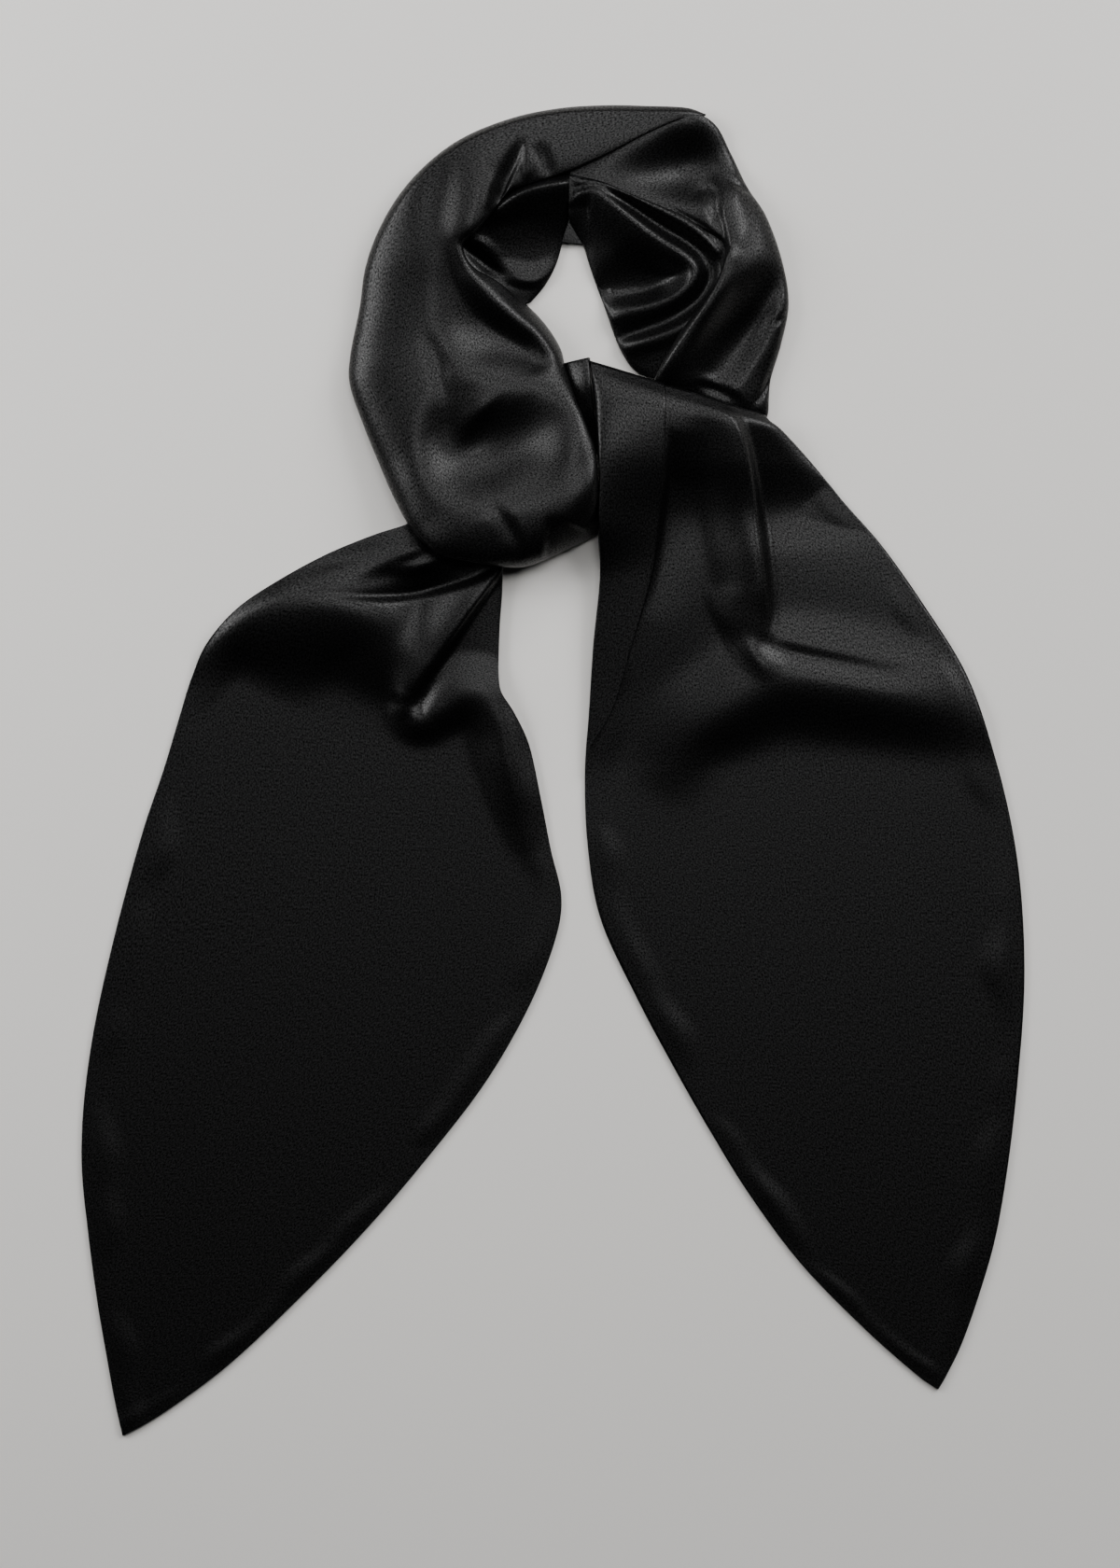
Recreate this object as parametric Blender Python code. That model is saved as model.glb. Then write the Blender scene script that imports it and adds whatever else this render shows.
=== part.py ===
"""A black satin evening scarf, tied in a half knot and laid flat.

The scarf is one long piece of satin with a leaf-shaped point at each end. Its
middle is gathered into a loop the size of a neck, the ends cross in a half
knot, and the two points fan out below it.

Frame: metres, +Z up, the table at z = 0, +Y towards the loop, and the origin
below the middle of the whole scarf. The tables are in millimetres.

Each stretch of cloth is a table of sections. A section is one cut across the
stretch: its two edge points, the heights of the cloth at both edges and
between them, and what the stretch needs besides. Curves through the sections
give the grid of the cloth, and a table of folds raises or sinks that grid
along a line.
"""

import math
from collections import namedtuple

import bmesh
import bpy
import numpy as np

MM = 0.001
WALL = 1.6  # the cloth's wall, two layers of satin and the air between them
SEAM_GAP = 0.3  # between neighbouring stretches
EDGE_INSET = 0.22  # each stretch draws back from the line it shares, a little over half the gap
LOWEST_TOP = 1.2  # the thinnest that a heaped stretch gets
TANGENT_LIMIT = 1.4  # a curve's tangent against its shorter neighbour, so that it never loops
FOLD_STEP = 1.5  # spacing of the points along a fold's line
ROUNDNESS = 2.5  # of a stretch across: 2 is an ellipse, and more lies flatter and drops more steeply
HEAP_REACH = 4.5  # the least reach of a fold to one side, so that the grid can follow it
TAIL_REACH = 7.5  # the same on the two ends, where the grid is wider
SMOOTHING = {"broad": 1, "soft": 0, "crease": 0}  # rounds of easing for each kind of fold
SHARP_ANGLE = math.radians(50)

SATIN_BLACK = (0.010, 0.010, 0.012, 1.0)
SATIN_ROUGHNESS = 0.42

# steps: grid rows from this section to the next. bow: how far the middle of
# the section is pushed along the stretch. hollow: 0 where the hidden layers
# below are one solid, 1 where there is nothing under the wall. flap: the share
# of the width that a turned-over edge covers.
Section = namedtuple(
    "Section",
    "left_x left_y right_x right_y left_z crown_z right_z steps bow hollow flap",
    defaults=(4, 0.0, 0.0, 0.5),
)

# A fold is a line on the table. Each row of it is a place: x, y, how high the
# cloth stands there, and how far the fold fades out to the left and the right.
Fold = namedtuple("Fold", "name kind rows")

# The loop's left side: from its tip at the top right, over the top, down the
# left and across the front of the knot. Left is the outer edge.
RING_LEFT = (
    Section(72.0, 309.0, 68.5, 308.0, 3.0, 6.0, 6.0),
    Section(62.5, 312.0, 57.0, 305.0, 2.5, 9.0, 9.0),
    Section(44.0, 312.7, 43.0, 299.0, 2.0, 11.5, 11.0),
    Section(25.0, 313.0, 26.0, 290.0, 2.0, 13.0, 12.0),
    Section(3.5, 311.5, 11.0, 283.0, 2.0, 14.0, 12.5),
    Section(-18.5, 307.0, -1.0, 278.5, 2.0, 15.0, 12.5),
    Section(-40.5, 298.5, -12.0, 275.0, 2.0, 15.5, 12.5),
    Section(-57.5, 287.0, -21.0, 271.5, 2.0, 16.0, 13.0),
    Section(-72.0, 271.5, -28.5, 262.0, 2.0, 17.0, 14.5),
    Section(-82.5, 253.5, -35.0, 254.0, 2.0, 17.0, 15.5),
    Section(-88.5, 236.0, -42.0, 247.0, 2.0, 16.5, 14.0),
    Section(-91.0, 218.0, -38.0, 237.0, 2.0, 16.5, 11.5),
    Section(-95.5, 195.0, -26.0, 230.0, 3.0, 16.5, 8.0),
    Section(-95.5, 181.0, -12.0, 219.0, 3.5, 17.0, 3.0),
    Section(-89.0, 162.0, -3.0, 209.5, 3.5, 18.5, 2.0),
    Section(-81.5, 143.5, 3.5, 199.0, 3.5, 20.0, 2.0),
    Section(-74.0, 126.5, 6.0, 189.5, 4.0, 22.0, 6.0),
    Section(-66.0, 113.0, 10.5, 175.0, 6.0, 24.5, 15.0),
    Section(-53.0, 101.5, 15.5, 163.0, 9.0, 26.5, 18.0),
    Section(-33.0, 97.0, 20.0, 150.0, 9.0, 27.0, 19.0),
    Section(-14.0, 95.5, 21.2, 137.0, 5.0, 25.5, 19.0),
    Section(3.5, 102.5, 21.6, 124.0, 4.0, 20.0, 16.0),
    Section(18.5, 110.0, 21.8, 114.5, 4.0, 9.0, 8.0),
)
RING_LEFT_FOLDS = (
    Fold("rolled edge of the hole", "soft", (
        (-45, 250, 0, 4, 5), (-44, 243, 2.5, 5, 7), (-41, 233, 3.5, 6, 9), (-33, 224, 4, 8, 11),
        (-24, 217, 4, 9, 12), (-12, 207, 3.5, 10, 11), (-3, 197, 2.5, 8, 10), (3, 188, 0, 5, 8))),
    Fold("crescent trough", "soft", (
        (-48, 246, 0, 4, 4), (-45.5, 236, -4, 6, 9), (-42, 224, -6.5, 9, 13), (-35, 212, -7.5, 12, 15),
        (-25, 204, -7, 12, 13), (-14, 198, -5, 10, 11), (-6, 193, -2, 8, 9), (-2, 190, 0, 6, 7))),
    Fold("ridge over the hollow", "broad", (
        (-50, 176, 0, 6, 8), (-42, 184, 2, 7, 10), (-24, 190, 3, 8, 12), (-6, 188, 3, 8, 12),
        (6, 182, 1, 6, 10), (10, 175, 0, 5, 6))),
    Fold("hollow over the knot", "broad", (
        (-48, 147, -2, 10, 6), (-40, 150, -8, 22, 10), (-24, 154, -10, 28, 14), (-8, 158, -9, 26, 12),
        (2, 164, -3, 16, 9), (6, 168, 0, 8, 6))),
    Fold("side crease", "crease", (
        (-61, 207, 0, 3, 4), (-58, 200, -2.5, 3, 6), (-54, 190, -4, 3, 7), (-52, 180, -3.5, 3, 7),
        (-51, 166, -3, 2.5, 6), (-48, 152, -3.5, 2.5, 6), (-45, 146, 0, 2.5, 5))),
    Fold("lower crease", "crease", (
        (-35, 132, 0, 3, 4), (-29, 125, -2.5, 3, 6), (-22, 117, -4, 3, 8), (-17, 109, -4, 4, 9),
        (-15, 102, -2, 4, 6))),
    Fold("band below the knot", "soft", (
        (-57, 113, 0, 4, 4), (-45, 110.5, -2, 6, 5), (-32, 110, -3, 7, 5), (-20, 108, -2.5, 6, 5),
        (-12, 106, 0, 4, 4))),
    Fold("shoulder ridge", "soft", (
        (-38, 297, 0, 5, 8), (-40, 285, 2.5, 6, 11), (-43, 270, 3, 6, 13), (-45.5, 255, 3, 5, 13),
        (-47, 244, 0, 4, 9))),
    Fold("shoulder dent", "soft", (
        (-49, 291, 0, 6, 7), (-54, 278, -2.5, 8, 12), (-57, 262, -3, 10, 13), (-55, 246, -1.5, 8, 10),
        (-53, 234, 0, 6, 8))),
    Fold("mouth crease", "crease", (
        (-14.5, 296, 0, 2, 3), (-17, 287, -3.5, 2, 5), (-20.5, 278, -5, 2, 5), (-24, 271, -4, 2, 4))),
)

# The loop's right side: from the knot up to the corner of the loop, then back
# to the left under the top of the loop. Left is the outer edge.
RING_RIGHT = (
    Section(101.5, 169.5, 48.5, 186.0, 2.0, 12.0, 10.0),
    Section(102.5, 184.0, 52.5, 194.0, 2.0, 14.0, 12.5),
    Section(107.5, 201.0, 60.5, 207.0, 2.0, 15.0, 13.5),
    Section(111.0, 220.0, 70.0, 219.0, 2.0, 16.0, 14.5),
    Section(108.0, 240.0, 77.5, 231.5, 2.0, 16.0, 15.0),
    Section(100.5, 261.0, 81.0, 243.5, 2.0, 15.0, 14.5),
    Section(91.5, 275.0, 79.5, 249.0, 2.0, 13.5, 13.5),
    Section(84.0, 290.5, 74.0, 252.5, 2.0, 12.0, 12.5),
    Section(76.5, 303.0, 64.0, 257.5, 4.0, 11.0, 11.5),
    Section(65.0, 305.5, 49.5, 264.0, 8.0, 10.5, 11.0),
    Section(47.5, 300.0, 34.0, 270.5, 8.5, 10.0, 10.5),
    Section(26.5, 289.0, 21.5, 275.5, 8.5, 9.5, 10.0),
    Section(10.0, 281.5, 10.5, 278.5, 8.0, 8.5, 8.5),
)
RING_RIGHT_FOLDS = (
    Fold("long hollow", "broad", (
        (80, 180, -1, 14, 5), (88, 191, -5, 18, 6), (95, 208, -8.5, 22, 7), (96, 226, -8.5, 21, 8),
        (92, 241, -4, 14, 8), (88, 250, 0, 8, 6))),
    Fold("hook", "crease", (
        (66, 268, 0, 3, 4), (69, 274, -2, 4, 6), (74, 276, -3, 4, 6), (77.5, 273, -3, 3, 6),
        (78, 266, -3, 2.5, 6), (79.5, 256, -3, 2.5, 5), (81, 246, -1.5, 2.5, 3))),
    Fold("dip in the panel", "broad", (
        (18, 279, 0, 6, 6), (34, 281, -2.5, 10, 8), (54, 281, -4.5, 16, 10), (70, 281, -4.5, 16, 9),
        (80, 279, 0, 8, 8))),
    Fold("outer lip", "soft", (
        (74, 302, 0, 5, 6), (80, 287, 2, 6, 8), (85, 270, 2.5, 6, 9), (88, 256, 2, 6, 9),
        (89, 244, 0, 6, 7))),
    Fold("lit edge", "soft", (
        (52, 189, 1, 4, 6), (60, 201, 1.6, 4, 7), (70, 215, 2, 4, 7), (78, 230, 2, 4, 7),
        (82, 243, 1, 4, 6))),
    Fold("fold mouth", "soft", (
        (65, 181, 0, 2, 3), (72, 180, -3, 3, 4), (80, 177.5, -4, 3, 4), (86, 174, -3, 3, 4),
        (89, 171, 0, 3, 3))),
)

# Inside the loop, on the left: the cloth that turns under the loop's left side.
RING_INNER_LEFT = (
    Section(-12.5, 274.8, 7.0, 278.0, 9.0, 12.0, 11.0),
    Section(-20.5, 270.5, 7.3, 270.0, 9.0, 12.0, 8.5),
    Section(-28.0, 261.5, 7.2, 260.0, 8.0, 11.0, 5.5),
    Section(-34.5, 253.5, 5.0, 251.5, 7.0, 10.5, 3.0),
    Section(-41.0, 247.0, 3.0, 243.0, 5.0, 10.0, 2.0),
    Section(-37.5, 237.3, 0.0, 235.0, 4.0, 9.5, 2.0),
    Section(-26.0, 230.3, -4.5, 227.5, 4.5, 7.5, 2.0),
    Section(-13.5, 221.0, -10.5, 220.5, 2.5, 3.0, 2.0),
)
RING_INNER_LEFT_FOLDS = (
    Fold("rim", "soft", (
        (-33, 256, 0, 2, 5), (-27, 263, 2, 2.5, 8), (-18, 269.5, 3, 3, 10), (-8, 273.5, 3.5, 3, 12),
        (2, 275.5, 3.5, 3, 12), (8, 276, 2, 3, 8))),
    Fold("rise by the hole", "soft", (
        (-30, 238, 0, 6, 4), (-22, 234, 2, 9, 5), (-14, 231, 2.5, 10, 5), (-7, 231, 2.5, 10, 4),
        (0, 237, 1, 8, 4), (3, 243, 0, 5, 3))),
    Fold("pocket", "soft", (
        (-42, 247, -2, 3, 3), (-37, 243, -4, 4, 5), (-31, 238, -4, 5, 5), (-25, 234, -2, 4, 4),
        (-20, 231, 0, 3, 3))),
)

# Inside the loop, on the right: nested folds, each like a hairpin.
# Left is the edge of the hole.
RING_INNER_RIGHT = (
    Section(7.6, 259.0, 7.6, 277.6, 7.0, 10.5, 9.0),
    Section(10.3, 254.0, 21.5, 274.7, 4.0, 9.5, 10.0),
    Section(14.5, 246.5, 34.0, 269.7, 2.0, 9.5, 10.5),
    Section(16.5, 240.0, 49.5, 263.2, 2.0, 9.5, 11.0),
    Section(18.5, 234.0, 64.0, 256.7, 2.0, 9.5, 11.0),
    Section(21.0, 227.0, 78.5, 245.0, 2.0, 10.0, 11.0),
    Section(24.5, 217.5, 77.0, 231.5, 2.0, 10.0, 10.5),
    Section(28.5, 206.0, 69.3, 219.3, 2.0, 10.0, 10.5),
    Section(32.0, 197.5, 59.8, 207.3, 2.0, 9.5, 10.0),
    Section(36.5, 190.5, 51.8, 194.2, 2.0, 7.0, 8.5),
    Section(40.5, 188.6, 47.9, 186.8, 2.0, 5.0, 6.0),
)
RING_INNER_RIGHT_FOLDS = (
    Fold("inner hairpin", "soft", (
        (9, 268, 1, 3, 3), (15, 271.5, 3, 3, 6), (21, 271, 4, 3.5, 9), (34, 261, 4.5, 3.5, 11),
        (51, 249, 4.5, 4, 11), (60, 244, 4.5, 4, 9), (65.5, 238, 4.5, 4, 8), (65, 230, 4.5, 4, 8),
        (58, 223, 4, 4, 7), (47, 218, 3.5, 4, 7), (36, 214, 3, 4, 7), (27, 211, 2, 3, 6),
        (24, 210, 0, 3, 5))),
    Fold("bowl in the hairpin", "broad", (
        (18, 229, 0, 12, 4), (28, 226, -3, 18, 5), (40, 226, -5.5, 22, 6), (52, 229, -5.5, 18, 6),
        (60, 233, -3, 10, 5), (64, 236, 0, 6, 4))),
    Fold("trough between", "soft", (
        (25, 272, 0, 3, 3), (34, 267, -4, 3, 4), (48, 257.5, -6, 4, 5), (62, 249.5, -6, 4, 5),
        (71, 242, -6, 4, 5), (73.5, 233, -6, 4, 5), (69, 223, -5, 4, 5), (58, 215, -4.5, 4, 4),
        (46, 209, -4, 4, 4), (36, 205, -3, 3, 4), (30, 203, 0, 3, 3))),
    Fold("outer hairpin, upper arm", "soft", (
        (12, 277, 1, 2, 3), (25, 274.5, 2, 2, 4), (40, 268, 2.5, 2, 4), (55, 261, 2.5, 2, 4),
        (68, 253, 2.5, 2, 4), (77, 244, 2, 2, 3))),
    Fold("outer hairpin, lower arm", "soft", (
        (30, 199, 1, 3, 3), (38, 201.5, 3, 3, 4), (48, 204.5, 4, 3, 5), (58, 208.5, 4, 3, 5),
        (67, 214, 3.5, 3, 5), (73, 221, 2, 3, 4), (76, 228, 0, 3, 3))),
)

# A layer that shows through the notch at the top of the hole.
RING_UNDER_LAYER = (
    Section(7.3, 258.4, 7.6, 258.4, 2.5, 2.5, 2.5),
    Section(5.6, 252.5, 11.0, 252.3, 2.5, 3.0, 2.5),
    Section(4.5, 248.6, 13.3, 247.4, 2.5, 3.0, 2.5),
)

# The end that comes up through the loop, a narrow strip beside the knot.
KNOT_STRIP = (
    Section(6.4, 191.5, 15.7, 193.3, 5.0, 9.0, 9.0),
    Section(8.5, 181.0, 16.5, 183.0, 8.0, 12.0, 11.0),
    Section(12.5, 170.5, 17.5, 172.0, 8.0, 10.0, 9.0),
    Section(17.0, 161.5, 18.6, 161.5, 6.0, 6.0, 6.0),
)

# The right end: from the fold over the knot down to its point.
TAIL_RIGHT = (
    Section(16.6, 193.0, 99.5, 167.3, 8.0, 11.0, 7.0, 1, 0.0, 0.0, 0.43),
    Section(17.0, 189.5, 102.0, 164.5, 14.5, 17.5, 6.0, 2, 0.0, 0.0, 0.42),
    Section(19.0, 175.0, 108.0, 160.0, 17.5, 18.5, 3.0, 3, 0.0, 0.0, 0.38),
    Section(21.0, 148.0, 121.0, 146.0, 16.5, 14.0, 2.0, 4, 0.0, 0.1, 0.316),
    Section(22.0, 117.0, 137.5, 126.0, 13.0, 7.0, 1.6, 4, 0.0, 0.6, 0.248),
    Section(22.0, 90.5, 155.0, 106.0, 7.5, 4.2, 1.6, 4, 0.0, 1.0, 0.19),
    Section(19.0, 60.0, 174.5, 78.5, 5.0, 3.4, 1.6, 5, 0.0, 1.0, 0.124),
    Section(17.0, 29.0, 194.5, 46.0, 3.0, 2.4, 1.6, 5, 0.0, 1.0, 0.066),
    Section(15.0, -2.0, 207.5, 9.0, 1.6, 1.6, 1.6, 2, 0.0, 1.0, 0.016),
    Section(16.5, -37.0, 216.5, -28.0, 1.6, 1.6, 1.6, 2, 0.0, 1.0, 0.2),
    Section(22.5, -70.0, 221.0, -63.5, 1.6, 1.6, 1.6, 2, 0.0, 1.0, 0.3),
    Section(38.5, -105.0, 222.0, -103.0, 1.6, 1.6, 1.6, 2, 0.0, 1.0, 0.3),
    Section(56.0, -138.0, 219.0, -145.0, 1.6, 1.6, 1.6, 2, 0.0, 1.0, 0.3),
    Section(74.5, -170.5, 214.5, -184.5, 1.6, 1.6, 1.6, 2, 0.0, 1.0, 0.3),
    Section(93.5, -201.0, 208.5, -219.5, 1.6, 1.6, 1.6, 2, 0.0, 1.0, 0.3),
    Section(117.5, -233.0, 200.5, -247.5, 1.6, 1.6, 1.6, 2, 0.0, 1.0, 0.3),
    Section(148.5, -264.5, 192.5, -270.0, 1.6, 1.6, 1.6, 2, 0.0, 1.0, 0.3),
    Section(172.5, -285.5, 185.5, -284.5, 1.6, 1.6, 1.6, 1, 0.0, 1.0, 0.3),
    Section(180.5, -291.0, 182.0, -291.0, 1.6, 1.6, 1.6, 1, 0.0, 1.0, 0.3),
)
TAIL_RIGHT_FOLDS = (
    Fold("standing ridge", "soft", (
        (60, 181, 0, 4, 10), (70, 177, 2, 4, 14), (81, 170, 5, 5, 18), (88, 160, 8, 5, 20),
        (92, 145, 10, 4.5, 22), (95, 126, 10.5, 4, 26), (98, 100, 10, 4, 30), (99, 82, 8.5, 5, 30),
        (99, 70, 6.5, 7, 24), (97, 60, 3, 10, 14))),
    Fold("hollow beside the flap", "soft", (
        (55, 168, 0, 20, 1.5), (55.5, 158, -2.5, 28, 1.5), (54.5, 140, -4.5, 34, 1.5),
        (52.5, 120, -4.5, 34, 1.5), (49.5, 97, -3, 28, 1.5), (46, 83, -1.5, 20, 1.5),
        (42.5, 72, 0, 12, 1.5))),
    Fold("short trough", "soft", (
        (71, 86, 0, 4, 5), (76, 75, -4, 5, 8), (82, 65, -6, 5, 9), (89, 55.5, -6, 5, 9),
        (97, 45, -3, 5, 8), (102, 38, 0, 5, 6))),
    Fold("long ridge", "broad", (
        (55, -12, 0, 12, 10), (62, 6, 2.5, 20, 14), (70, 20, 4.5, 26, 18), (85, 30, 6, 24, 22),
        (98, 41, 7.5, 14, 28), (110, 46, 8.5, 10, 32), (136, 41, 9, 9, 30), (158, 37, 8.5, 10, 28),
        (180, 32, 7, 10, 26), (198, 26, 3, 8, 20))),
    Fold("upper trough", "soft", (
        (94, 63, 0, 5, 4), (103, 58, -2.5, 6, 5), (114, 54, -3.5, 6, 5), (136, 50, -3, 6, 5),
        (160, 45, -1.5, 6, 5), (172, 42, 0, 6, 5))),
)
FLAP_END_SECTION = 8  # the turned-over edge runs out here
FLAP_COLUMNS = 7

# The left end: from under the knot down to its point. Left is the upper edge.
TAIL_LEFT = (
    Section(-69.0, 114.5, -23.3, 95.0, 5.0, 6.0, 5.5, 4, 8.5, 0.0),
    Section(-84.5, 111.0, -24.0, 82.0, 5.0, 6.5, 4.5, 4, 4.0, 0.2),
    Section(-106.5, 102.0, -25.0, 68.5, 4.5, 6.0, 4.0, 4, 0.0, 0.7),
    Section(-128.5, 90.0, -25.5, 55.5, 4.0, 5.0, 4.0, 4, 0.0, 1.0),
    Section(-148.5, 76.5, -25.5, 44.5, 3.0, 3.5, 4.0, 4, 0.0, 1.0),
    Section(-163.0, 60.0, -24.0, 36.5, 2.0, 2.4, 3.5, 4, 0.0, 1.0),
    Section(-170.5, 43.0, -18.0, 27.0, 1.6, 1.8, 2.5, 4, 0.0, 1.0),
    Section(-176.0, 25.5, -11.0, 11.5, 1.6, 1.6, 2.0, 4, 0.0, 1.0),
    Section(-183.5, 0.5, -5.5, -14.0, 1.6, 1.6, 1.8, 4, 0.0, 1.0),
    Section(-192.5, -26.0, -1.0, -37.0, 1.6, 1.6, 1.6, 4, 0.0, 1.0),
    Section(-201.5, -58.0, 4.0, -60.0, 1.6, 1.6, 1.6, 2, 0.0, 1.0),
    Section(-210.0, -92.0, 0.5, -81.5, 1.6, 1.6, 1.6, 2, 0.0, 1.0),
    Section(-216.5, -123.0, -12.0, -112.5, 1.6, 1.6, 1.6, 2, 0.0, 1.0),
    Section(-221.0, -156.0, -32.0, -147.0, 1.6, 1.6, 1.6, 2, 0.0, 1.0),
    Section(-222.0, -186.5, -58.5, -181.5, 1.6, 1.6, 1.6, 2, 0.0, 1.0),
    Section(-219.0, -217.5, -88.0, -216.0, 1.6, 1.6, 1.6, 2, 0.0, 1.0),
    Section(-215.0, -248.0, -120.0, -249.0, 1.6, 1.6, 1.6, 2, 0.0, 1.0),
    Section(-210.5, -274.5, -153.0, -280.0, 1.6, 1.6, 1.6, 2, 0.0, 1.0),
    Section(-206.5, -296.5, -183.5, -302.5, 1.6, 1.6, 1.6, 1, 0.0, 1.0),
    Section(-203.2, -313.0, -201.6, -313.0, 1.6, 1.6, 1.6, 1, 0.0, 1.0),
)
TAIL_LEFT_FOLDS = (
    Fold("broad shelf", "broad", (
        (-165, 52, 1, 6, 12), (-150, 67, 6, 14, 32), (-128, 75, 9, 22, 46), (-103, 75.5, 9.5, 28, 43),
        (-87, 70, 8.5, 28, 40), (-78, 56, 6, 24, 33), (-72, 42, 3, 12, 22), (-69, 32, 0, 8, 14))),
    Fold("edge over the panel", "soft", (
        (-24, 96, 2, 3, 10), (-35, 80, 6, 2.5, 22), (-46, 64, 7, 2.2, 26), (-57, 48, 7, 2.2, 24),
        (-66, 35, 6, 2.5, 16), (-69, 29, 3, 4, 8))),
    Fold("lip and edge ridge", "soft", (
        (-69.5, 34, 3, 3, 9), (-67.5, 26.5, 6.5, 4, 11), (-62, 24, 7, 5, 11), (-54, 30, 7, 7, 14),
        (-44, 36.5, 7.5, 8, 20), (-33, 35.5, 8, 9, 24), (-22, 24, 8, 10, 22), (-13, 3, 7, 9, 21),
        (-6.5, -19, 5.5, 6, 20), (-2, -45, 2.5, 4, 14), (2, -62, 0, 4, 8))),
    Fold("valley at the knot", "crease", (
        (-112, 83, 0, 4, 3), (-84, 82, -3, 8, 4), (-67, 83, -4, 14, 4), (-54, 86, -5, 18, 4),
        (-40, 90, -4.5, 18, 4), (-28, 95, -2, 12, 3))),
    Fold("pleat", "soft", (
        (-58, 108, 0, 5, 5), (-68, 102, 3, 5, 6), (-84, 97, 3.5, 6, 6), (-104, 92, 2, 6, 6),
        (-118, 88, 0, 6, 6))),
)


def column(table, name):
    return np.array([getattr(row, name) for row in table], dtype=float)


def tangents(points):
    """Tangents of a smooth curve through the points, kept short at close points."""
    steps = np.diff(points, axis=0)
    lengths = np.linalg.norm(steps, axis=1)
    inner = (points[2:] - points[:-2]) / 2
    limit = TANGENT_LIMIT * np.minimum(lengths[:-1], lengths[1:])
    size = np.linalg.norm(inner, axis=1)
    inner *= np.minimum(1.0, limit / np.maximum(size, 1e-9))[:, None]
    return np.vstack([steps[:1], inner, steps[-1:]])


def curve(points, where):
    """The smooth curve through points, read at fractional row numbers."""
    points = np.asarray(points, dtype=float)
    slope = tangents(points)
    row = np.clip(where.astype(int), 0, len(points) - 2)
    t = (where - row)[:, None]
    a, b = points[row], points[row + 1]
    cubic = (2 * t**3 - 3 * t**2 + 1) * a + (3 * t**2 - 2 * t**3) * b
    return cubic + (t**3 - 2 * t**2 + t) * slope[row] + (t**3 - t**2) * slope[row + 1]


def grid_rows(table, last=None):
    """Fractional section numbers of the grid's rows, from the steps column."""
    last = len(table) - 1 if last is None else last
    rows = [i + k / table[i].steps for i in range(last) for k in range(table[i].steps)]
    return np.array(rows + [last], dtype=float)


def fold_line(fold):
    """A fold's line: its places, its directions, and its height and two reaches."""
    rows = np.array(fold.rows, dtype=float)
    length = np.linalg.norm(np.diff(rows[:, :2], axis=0), axis=1).sum()
    where = np.linspace(0, len(rows) - 1, max(8, int(length / FOLD_STEP)))
    place = curve(rows[:, :2], where)
    way = np.gradient(place, axis=0)
    way /= np.linalg.norm(way, axis=1)[:, None]
    levels = [np.interp(where, np.arange(len(rows)), rows[:, k]) for k in (2, 3, 4)]
    return place, way, np.stack(levels)


def fold_height(fold, plan, narrowest):
    """How much a fold lifts the cloth at each point of the grid."""
    place, way, levels = fold_line(fold)
    offset = plan.reshape(-1, 2)[:, None, :] - place[None, :, :]
    nearest = (offset**2).sum(axis=2).argmin(axis=1)
    near, way = offset[np.arange(len(nearest)), nearest], way[nearest]
    aside = way[:, 0] * near[:, 1] - way[:, 1] * near[:, 0]
    height, left, right = levels[:, nearest]
    reach = np.maximum(np.where(aside > 0, left, right), narrowest)
    share = np.clip(np.linalg.norm(near, axis=1) / reach, 0, 1)
    if fold.kind == "crease":
        lift = height * (1 - share) ** 2
    else:
        lift = height * (0.5 + 0.5 * np.cos(math.pi * share))
    lift = lift.reshape(plan.shape[:2])
    for _ in range(SMOOTHING[fold.kind]):
        lift = smoothed(lift)
    return lift


def smoothed(height):
    """A grid of heights, each eased towards its neighbours."""
    padded = np.pad(height, 1, mode="edge")
    down = (padded[:-2] + 2 * padded[1:-1] + padded[2:]) / 4
    return (down[:, :-2] + 2 * down[:, 1:-1] + down[:, 2:]) / 4


def cloth_grid(table, folds, shares, rows, lowest, narrowest):
    """Points of the cloth's upper side, in millimetres.

    shares is the place of each column across the stretch, from 0 to 1, one
    row of it for each row of the grid.
    """
    left = curve(np.stack([column(table, "left_x"), column(table, "left_y")], axis=1), rows)
    right = curve(np.stack([column(table, "right_x"), column(table, "right_y")], axis=1), rows)
    levels = np.stack([column(table, c) for c in ("left_z", "crown_z", "right_z", "bow")], axis=1)
    levels = curve(levels, rows)
    across = right - left
    width = np.linalg.norm(across, axis=1)
    inset = np.minimum(EDGE_INSET, width / 4)[:, None] * across / width[:, None]
    left, right = left + inset, right - inset
    v = shares[:, :, None]
    plan = left[:, None, :] * (1 - v) + right[:, None, :] * v
    forward = np.stack([across[:, 1], -across[:, 0]], axis=1) / width[:, None]
    bow = levels[:, 3][:, None] * 4 * shares * (1 - shares)
    plan = plan + forward[:, None, :] * bow[:, :, None]
    mean = (levels[:, 0] + levels[:, 2]) / 2
    dome = (1 - np.abs(2 * shares - 1) ** ROUNDNESS) ** (1 / ROUNDNESS)
    z = levels[:, 0][:, None] * (1 - shares) + levels[:, 2][:, None] * shares
    z = z + (levels[:, 1] - mean)[:, None] * dome
    for fold in folds:
        z = z + fold_height(fold, plan, narrowest)
    return np.dstack([plan, np.maximum(z, lowest)])


def round_shares(rows, columns):
    """Columns that crowd towards the edges, where a heaped stretch rounds down."""
    t = np.linspace(0, 1, columns)
    return np.tile((1 - np.cos(math.pi * t)) / 2, (len(rows), 1))


def even_shares(rows, columns):
    return np.tile(np.linspace(0, 1, columns), (len(rows), 1))


def flap_shares(table, rows, columns):
    """Columns for the right end: the first ones end at the turned-over edge."""
    flap = curve(column(table, "flap")[:, None], rows)
    inner = np.linspace(0, 1, FLAP_COLUMNS)[None, :]
    outer = np.linspace(0, 1, columns - FLAP_COLUMNS + 1)[None, 1:]
    return np.hstack([flap * inner, flap + (1 - flap) * outer])


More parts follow.
